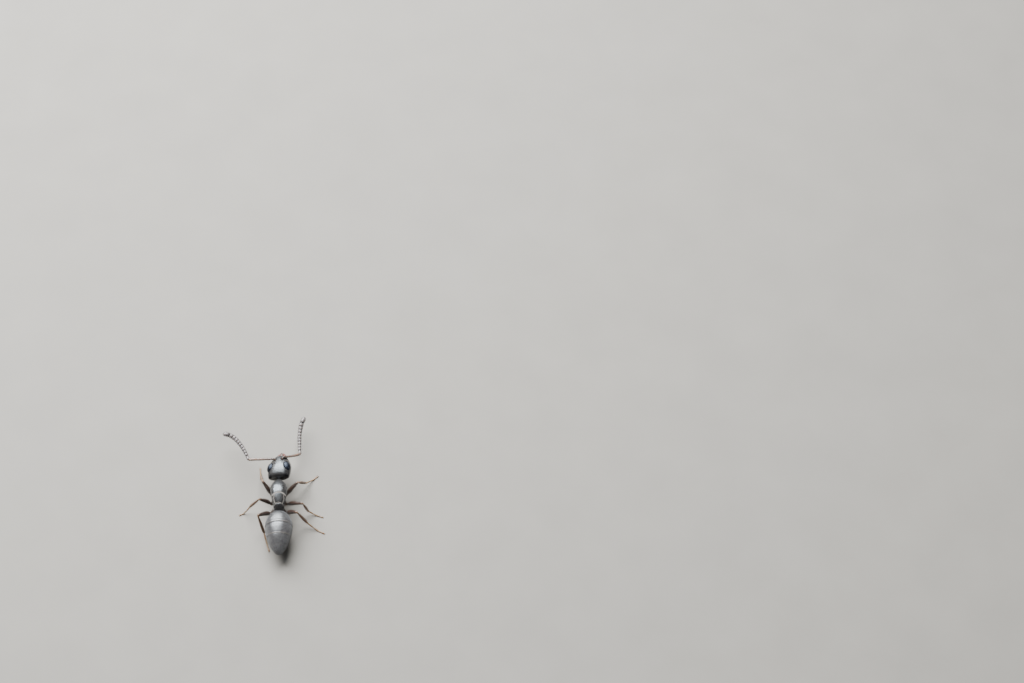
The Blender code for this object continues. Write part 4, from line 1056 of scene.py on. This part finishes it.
def gaster_shell(k):
    """Plate k of the gaster: the body's rings between two cuts, each later plate a little smaller in
    front, with its side furrow, pale rim and the dark line before it, the furrow and the line darkened
    as painted shade. The first darkens in a ramp towards the waist: painted shade that dims its
    reflection there."""
    ends = (GASTER_STATIONS[0][0], *GASTER_CUTS, GASTER_STATIONS[-1][0])
    along = np.linspace(0, 1, GASTER_ROWS[k])
    if k == 0:
        along = along**GASTER_CROWDING
    ys = ends[k] + (ends[k + 1] - ends[k]) * along
    rings = body_rings(GASTER_STATIONS, ys, GASTER_AROUND, GASTER_POWER)
    if k:
        middle = rings.mean(axis=1, keepdims=True)
        rings = middle + (rings - middle) * (1 - PLATE_STEP * (1 - along[:, None, None]) ** 2)
    angle = ring_angle(GASTER_AROUND)
    far = from_rear(rings)
    furrow = bump(np.minimum(np.abs(angle - 338), np.abs(angle - 202)), 1.7)
    last = k == len(GASTER_ROWS) - 1
    rim = np.zeros_like(far) if last else np.clip((0.022 - far) / 0.010, 0, 1)
    line = np.zeros_like(far) if last else bump(far - 0.040, 0.009)
    rings = rings - outward(rings) * (0.006 * furrow + 0.0015 * line - 0.0015 * rim)[..., None]
    pale = np.clip(RIM_PALENESS[k] * rim * np.ones_like(angle) + 0.3 * furrow, 0, 1)
    # Painted shade in a ramp that darkens the first plate towards the waist; the furrow and the line before
    # the rim are darkened the same way.
    front = 0.60 * np.clip((ys[:, None] + 0.88) / 0.10, 0, 1)
    dark = np.clip(0.5 * line * np.ones_like(angle) + 0.5 * furrow + front, 0, 1)
    return rings, plate_shell(rings, k > 0, not last, pale, dark, bulge=0.014)


gaster_look = cuticle("gaster_look", GASTER_COLOURS, 0.28, gloss=1.95, sheen=0.35)
for k in range(len(GASTER_ROWS)):
    hair_grounds[f"gaster_{k + 1}"], shell = gaster_shell(k)
    put_piece(f"gaster_skin_{k + 1}", [shell], gaster_look, [f"gaster_{k + 1}"])


# Legs
# Six legs of four pieces: a stout coxa on the thorax's underside, a dark thigh on a short paler
# trochanter, a translucent orange-brown shin with a spur, and a foot of five joints with two claws.

COXA_ROOTS = {"fore": (0.27, 0.61, 0.79), "mid": (-0.08, 0.61, 0.80), "hind": (-0.375, 0.68, 0.70)}
LEG_PLATES = {"fore": PRONOTUM_STATIONS, "mid": MESOTHORAX_STATIONS, "hind": PROPODEUM_STATIONS}
HIPS = {"fore": (0.190, 0.20, 0.22), "mid": (0.190, -0.10, 0.25), "hind": (0.190, -0.40, 0.27)}
LEGS = {
    "fore_left": ((-0.453, 0.424, 0.65), (-0.490, 0.76, 0.27), (-0.52, 1.20, 0.0)),
    "fore_right": ((0.52, 0.40, 0.62), (0.74, 0.62, 0.20), (1.09, 0.94, 0.0)),
    "mid_left": ((-0.54, -0.22, 0.76), (-0.80, -0.18, 0.27), (-1.08, -0.30, 0.0)),
    "mid_right": ((0.658, -0.356, 0.75), (0.81, -0.25, 0.15), (1.22, -0.38, 0.0)),
    "hind_left": ((-0.578, -0.725, 0.75), (-0.41, -0.936, 0.15), (-0.27, -1.447, 0.0)),
    "hind_right": ((0.50, -0.66, 0.80), (0.77, -0.64, 0.20), (1.25, -0.90, 0.0)),
}
LEG_STOUTNESS = {"fore": 1.0, "mid": 0.96, "hind": 1.05}
COXA_RADII = ((0.0, 0.045), (0.15, 0.060), (0.45, 0.062), (0.75, 0.050), (1.0, 0.034))
FEMUR_RADII = ((0.0, 0.020), (0.04, 0.034), (0.10, 0.034), (0.14, 0.026), (0.24, 0.046), (0.42, 0.060),
               (0.65, 0.053), (0.85, 0.040), (0.95, 0.037), (1.0, 0.022))
TIBIA_RADII = ((0.0, 0.014), (0.03, 0.024), (0.10, 0.021), (0.30, 0.030), (0.65, 0.038), (0.90, 0.037),
               (1.0, 0.026))
TARSUS_JOINTS = (2.1, 0.95, 0.65, 0.5, 0.9)
TARSUS_BEAD = ((0.0, 0.62), (0.25, 0.78), (0.88, 1.0), (1.0, 0.66))
TARSUS_RADIUS = 0.019
TARSUS_ROOT_STOUTNESS = 1.12
TOE_LEVEL = 0.013
FOOT_SUNK = 0.02
FOOT_LINE = ((0.0, 1.0), (0.36, 0.36), (0.64, 0.05), (0.80, 0.0), (1.0, 0.0))
THIGH_BOW = 0.05
CLAW_RADII = ((0.0, 0.0062), (0.5, 0.0048), (1.0, 0.0012))
CLAW_STEPS = ((-0.010, 0.003, 0.0), (0.010, 0.010, 0.003), (0.024, 0.018, 0.001), (0.034, 0.022, -0.007))
FOOT_PAD_STEPS = ((-0.004, 0.0), (0.006, 0.0), (0.016, -0.003))
FOOT_PAD_RADII = ((0.0, 0.007), (0.4, 0.0085), (0.8, 0.0085), (1.0, 0.005))
SPUR_RADII = ((0.0, 0.0075), (0.5, 0.0055), (1.0, 0.0014))
SPUR_BACK = 0.034
SPUR_ASIDE = (0.020, 0.032, 0.043, 0.051)
SPUR_AHEAD = (0.0, 0.006, 0.038, 0.068)
THIGH_COLOURS = ((0.026, 0.013, 0.009), (0.072, 0.037, 0.023), (0.230, 0.125, 0.065))
SHIN_COLOURS = ((0.120, 0.052, 0.022), (0.280, 0.135, 0.060), (0.430, 0.250, 0.120))
FOOT_COLOURS = ((0.210, 0.105, 0.045), (0.380, 0.215, 0.100), (0.520, 0.340, 0.180))


def coxa_root(pair, side):
    """A share of the plate's half width out, and of the way down to its underside."""
    y, out, down = COXA_ROOTS[pair]
    table = np.asarray(LEG_PLATES[pair], float)
    half, level, bottom = (float(eased(y, table[:, 0], table[:, k])) for k in (1, 3, 4))
    return Vector((side * half * out, y, level - (level - bottom) * down))


def leg_lines(root, hip, points):
    """The middle lines of coxa, thigh, shin and foot. The thigh bows up by a share of its length."""
    knee, ankle, toe = (Vector(point) for point in points)
    thigh = knee - hip
    bow = Vector((0, 0, 1)).cross(thigh).cross(thigh).normalized() * -THIGH_BOW * thigh.length
    step = toe - ankle
    foot = [ankle - (ankle - knee).normalized() * FOOT_SUNK]
    for along, height in FOOT_LINE:
        spot = ankle + step * along
        spot.z = TOE_LEVEL + (ankle.z - TOE_LEVEL) * height
        foot.append(spot)
    return (root, root.lerp(hip, 0.5), hip), (hip, hip.lerp(knee, 0.5) + bow, knee), (knee, ankle), foot


def foot_profile():
    """Shares, radii and dark nips of the five joints, each narrow where it starts."""
    ends = np.append(0, np.cumsum(TARSUS_JOINTS)) / sum(TARSUS_JOINTS)
    shares, radii, nips = [], [], []
    for k in range(len(TARSUS_JOINTS)):
        last = k == len(TARSUS_JOINTS) - 1
        rows = 20 if k else 30
        stout = 1.0 if k else TARSUS_ROOT_STOUTNESS
        t = rounded(0.0, 1.0, rows + 1)[: rows + last]
        shares.append(ends[k] + (ends[k + 1] - ends[k]) * t)
        radii.append(TARSUS_RADIUS * eased(t, *zip(*TARSUS_BEAD)) * stout)
        nips.append(np.maximum(bump(t, 0.06) * (k > 0), bump(t - 1, 0.05) * (not last)))
    return np.concatenate(shares), np.concatenate(radii), np.concatenate(nips)


def above_floor(points, level=0.0):
    """Points with none lower than a level."""
    return np.concatenate((points[..., :2], np.maximum(points[..., 2:], level)), axis=-1)


def claw_shells(foot):
    """Two hooks from the end of the last foot joint, and the soft pad between them."""
    ahead = (foot[-1] - foot[-2]).normalized()
    aside = ahead.cross(Vector((0, 0, 1))).normalized()
    shells = []
    shares = np.linspace(0, 1, 16)
    for side in (-1, 1):
        line = [foot[-1] + ahead * a + aside * side * b + Vector((0, 0, c)) for a, b, c in CLAW_STEPS]
        rings = end_caps(tube_rings(line, eased(shares, *zip(*CLAW_RADII)), shares, 12))
        shells.append((above_floor(rings), 0.0, over_caps(0.5 * shares)))
    line = [foot[-1] + ahead * a + Vector((0, 0, c)) for a, c in FOOT_PAD_STEPS]
    shares, radii = zip(*FOOT_PAD_RADII)
    shells.append((above_floor(end_caps(tube_rings(line, radii, shares, 14))), 0.6, 0.0))
    return shells


def spur_shell(shin, foot, side):
    """A bent spine at the end of the shin, beside the foot's first joint."""
    down = (shin[1] - shin[0]).normalized()
    step = (foot[2] - foot[1]).normalized()
    aside = down.cross(step).normalized() * side
    line = [shin[1] + step * ahead + aside * out for ahead, out in zip(SPUR_AHEAD, SPUR_ASIDE)]
    line[0] -= down * SPUR_BACK
    shares = np.linspace(0, 1, 20)
    return end_caps(tube_rings(line, eased(shares, *zip(*SPUR_RADII)), shares, 12)), 0.4, 0.0


def limb(line, radii, rows, around, stout):
    """A limb's rings, and each ring's share of the length."""
    shares = rounded(0.0, 1.0, rows)
    rings = tube_rings(line, eased(shares, *zip(*radii)) * stout, shares, around)
    return rings, over_caps(shares)


thigh_look = cuticle("thigh_look", THIGH_COLOURS, 0.29, glow=0.1, gloss=1.7)
shin_look = cuticle("shin_look", SHIN_COLOURS, 0.30, glow=0.35, gloss=1.6)
foot_look = cuticle("foot_look", FOOT_COLOURS, 0.30, glow=0.4, gloss=1.6)
foot_shares, foot_radii, foot_nips = foot_profile()
for name in LEGS:
    pair, word = name.split("_")
    side = -1 if word == "left" else 1
    out, along, up = HIPS[pair]
    stout = LEG_STOUTNESS[pair]
    lines = leg_lines(coxa_root(pair, side), Vector((side * out, along, up)), LEGS[name])
    coxa, at = limb(lines[0], COXA_RADII, 44, 60, stout)
    shell = end_caps(coxa), 0.5 * bump(at - 1, 0.12), 0.0
    put_piece(f"coxa_skin_{name}", [shell], thigh_look, [f"coxa_{name}"])
    thigh, at = limb(lines[1], FEMUR_RADII, 96, 48, stout)
    pale = np.clip(0.8 * (at < 0.125) + 0.7 * bump(at - 1, 0.06), 0, 1)
    shell = end_caps(thigh), pale, 0.7 * bump(at - 0.14, 0.012)
    put_piece(f"thigh_skin_{name}", [shell], thigh_look, [f"femur_{name}"])
    shin, at = limb(lines[2], TIBIA_RADII, 80, 40, stout)
    pale = np.clip(0.7 * bump(at, 0.10) + 0.5 * bump(at - 1, 0.10), 0, 1)
    shells = [(end_caps(shin), pale, 0.25 * bump(at - 0.45, 0.2)), spur_shell(lines[2], lines[3], side)]
    put_piece(f"shin_skin_{name}", shells, shin_look, [f"tibia_{name}"])
    foot = tube_rings(lines[3], foot_radii * stout, foot_shares, 36)
    foot = above_floor(foot)
    shells = [(above_floor(end_caps(foot)), 0.2, over_caps(0.5 * foot_nips)), *claw_shells(lines[3])]
    put_piece(f"foot_skin_{name}", shells, foot_look, [f"tarsus_{name}"])
    for part, rings in (("coxa", coxa), ("thigh", thigh), ("shin", shin), ("foot", foot)):
        hair_grounds[f"{part}_{name}"] = rings


# Coat
# Short fine silvery hairs that lie along the body and give it a silky bloom, thickest on the gaster
# and the feelers and shortest on the face and feet. Each is a thin three-sided spine.

HAIR_SPREAD = 9.0
HAIR_PATCH = 0.003
HAIR_RINGS = ((0.0, -0.15, 1.0), (0.5, 0.62, 0.85))  # shares of length, lift and thickness
HAIR_LEVEL = 0.0002
DULL_HAIR = ((0.045, 0.038, 0.032, 1), (0.16, 0.14, 0.12, 1))
SILVER_HAIR = ((0.10, 0.094, 0.09, 1), (0.27, 0.255, 0.245, 1))
# Each: grounds, hairs on each square millimetre, length, thickness, lift of the tip, colours, slot
COATS = {
    "coat_head": (("head",), 7000, 0.024, 0.0007, 0.0035, DULL_HAIR, "head_cuticle"),
    "coat_thorax": (("pronotum", "mesothorax", "propodeum"), 6500, 0.028, 0.0008, 0.004, DULL_HAIR,
                    "thorax_cuticle"),
    "coat_gaster_front": (("gaster_1", "gaster_2"), 6500, 0.036, 0.0009, 0.005, SILVER_HAIR,
                          "gaster_cuticle"),
    "coat_gaster_rear": (("gaster_3", "gaster_4"), 9500, 0.036, 0.0009, 0.005, SILVER_HAIR,
                         "gaster_cuticle"),
    "coat_feelers": (("scape_", "whip_"), 9500, 0.026, 0.0009, 0.008, SILVER_HAIR, "funiculus"),
    "coat_legs": (("coxa_", "thigh_", "shin_", "foot_"), 5200, 0.030, 0.0009, 0.008, DULL_HAIR, "femur"),
}


def hair_material(name, colours):
    """Hair in two tones that a fine noise blends."""
    made, tree, shader = new_material(name)
    tint = add_node(tree, "ShaderNodeTexNoise", {"Vector": in_mm(tree), "Scale": 30.0, "Detail": 1.0})
    tone = add_node(tree, "ShaderNodeMix", {"Factor": tint.outputs["Fac"], "A": colours[0],
                                            "B": colours[1]}, data_type="RGBA")
    tree.links.new(tone.outputs["Result"], shader.inputs["Base Color"])
    shader.inputs["Roughness"].default_value = 0.35
    return made


def cell_weights(name, rings):
    """Area of each grid cell, nothing on the eyes and in the feelers' sockets."""
    nearby = np.roll(rings, -1, axis=1)
    area = np.linalg.norm(np.cross(nearby[1:] - rings[:-1], rings[1:] - nearby[:-1]), axis=2) / 2
    if name == "head":
        local = apply_matrix(HEAD_MATRIX.inverted(), rings[:-1])
        bare = np.minimum(eye_distance(local, -1), eye_distance(local, 1)) < 1.0
        socket = np.hypot(np.abs(local[..., 0]) - SOCKET_PLACE[0], local[..., 1] - SOCKET_PLACE[1]) < 0.032
        bare |= socket & (local[..., 2] > 0)
        bare |= (local[..., 1] < -0.34) | (local[..., 1] > 0.33)
        area = np.where(bare, 0.0, area)
    return area


def hair_points(name, rings, density, length, width, lift, rng, tile):
    """Seven points for each hair and its place on the unwrap. A root is drawn by area; the hair runs
    along the grid, turned a little at random, and its tip stands off by the lift."""
    area = cell_weights(name, rings)
    count = int(density * area.sum())
    pick = rng.choice(area.size, count, p=(area / area.sum()).ravel())
    i, j = np.divmod(pick, area.shape[1])
    k = (j + 1) % rings.shape[1]
    s, t = rng.random((2, count, 1))
    along = (rings[i + 1, j] - rings[i, j]) * (1 - s) + (rings[i + 1, k] - rings[i, k]) * s
    across = (rings[i, k] - rings[i, j]) * (1 - t) + (rings[i + 1, k] - rings[i + 1, j]) * t
    root = rings[i, j] + across * s + (rings[i + 1, j] - rings[i, j]) * t
    out = outward(rings)[i, j]
    along /= np.linalg.norm(along, axis=1, keepdims=True)
    along -= out * np.sum(along * out, axis=1, keepdims=True)
    beside = np.cross(out, along)
    turn = np.radians(rng.normal(0, HAIR_SPREAD, (count, 1)))
    aim = along * np.cos(turn) + beside * np.sin(turn)
    beside = np.cross(out, aim)
    size = length * rng.uniform(0.7, 1.2, (count, 1))
    rise = lift * rng.uniform(0.5, 1.5, (count, 1))
    made = []
    for share, high, thick in HAIR_RINGS:
        middle = root + aim * size * share + out * rise * high
        for angle in (90, 210, 330):
            off = out * math.sin(math.radians(angle)) + beside * math.cos(math.radians(angle))
            made.append(middle + off * width * thick)
    made.append(root + aim * size + out * rise)
    column, row, tiles = tile
    place = np.stack(((j + s[:, 0]) / rings.shape[1], (i + t[:, 0]) / rings.shape[0]), axis=1)
    place = (place * 0.96 + 0.01 + (column, row)) / tiles
    return above_floor(np.stack(made, axis=1), HAIR_LEVEL), place


def put_coat(name, points, places, surface):
    """Hairs as one mesh: a triangle at the root, three quads, then three triangles to the tip. The
    unwrap gives each hair a small patch at its root's place."""
    count = len(points)
    faces = ((0, 2, 1), (0, 1, 4, 3), (1, 2, 5, 4), (2, 0, 3, 5), (3, 4, 6), (4, 5, 6), (5, 3, 6))
    spread = ((0, 2, 1), (0, 1, 1, 0), (1, 2, 2, 1), (2, 3, 3, 2), (0, 1, 0.5), (1, 2, 1.5), (2, 3, 2.5))
    high = ((0, 0, 0), (0, 0, 1, 1), (0, 0, 1, 1), (0, 0, 1, 1), (1, 1, 2), (1, 1, 2), (1, 1, 2))
    corners = np.concatenate(faces)
    patch = np.stack((np.concatenate(spread) / 3, np.concatenate(high) / 2), axis=-1) * HAIR_PATCH
    first = np.append(0, np.cumsum([len(face) for face in faces]))[:-1]
    each = np.arange(count)[:, None]
    mesh = new_mesh(name, points.reshape(-1, 3), (corners + 7 * each).ravel(),
                    (first + len(corners) * each).ravel(), "OFBake", places[:, None] + patch, surface)
    made = bpy.data.objects.new(name, mesh)
    bpy.context.scene.collection.objects.link(made)
    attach(made, "root")


hair_looks = {
    DULL_HAIR: hair_material("dull_hair", DULL_HAIR),
    SILVER_HAIR: hair_material("silver_hair", SILVER_HAIR),
}
for order, (name, (starts, density, length, width, lift, colours, slot)) in enumerate(COATS.items()):
    rng = np.random.default_rng(100 + order)
    grounds = [key for key in hair_grounds if key.startswith(starts)]
    tiles = math.ceil(math.sqrt(len(grounds)))
    grown = []
    for number, key in enumerate(grounds):
        tile = (number % tiles, number // tiles, tiles)
        grown.append(hair_points(key, hair_grounds[key], density, length, width, lift, rng, tile))
    points, places = (np.concatenate(part) for part in zip(*grown))
    put_coat(name, points, places, hair_looks[colours])
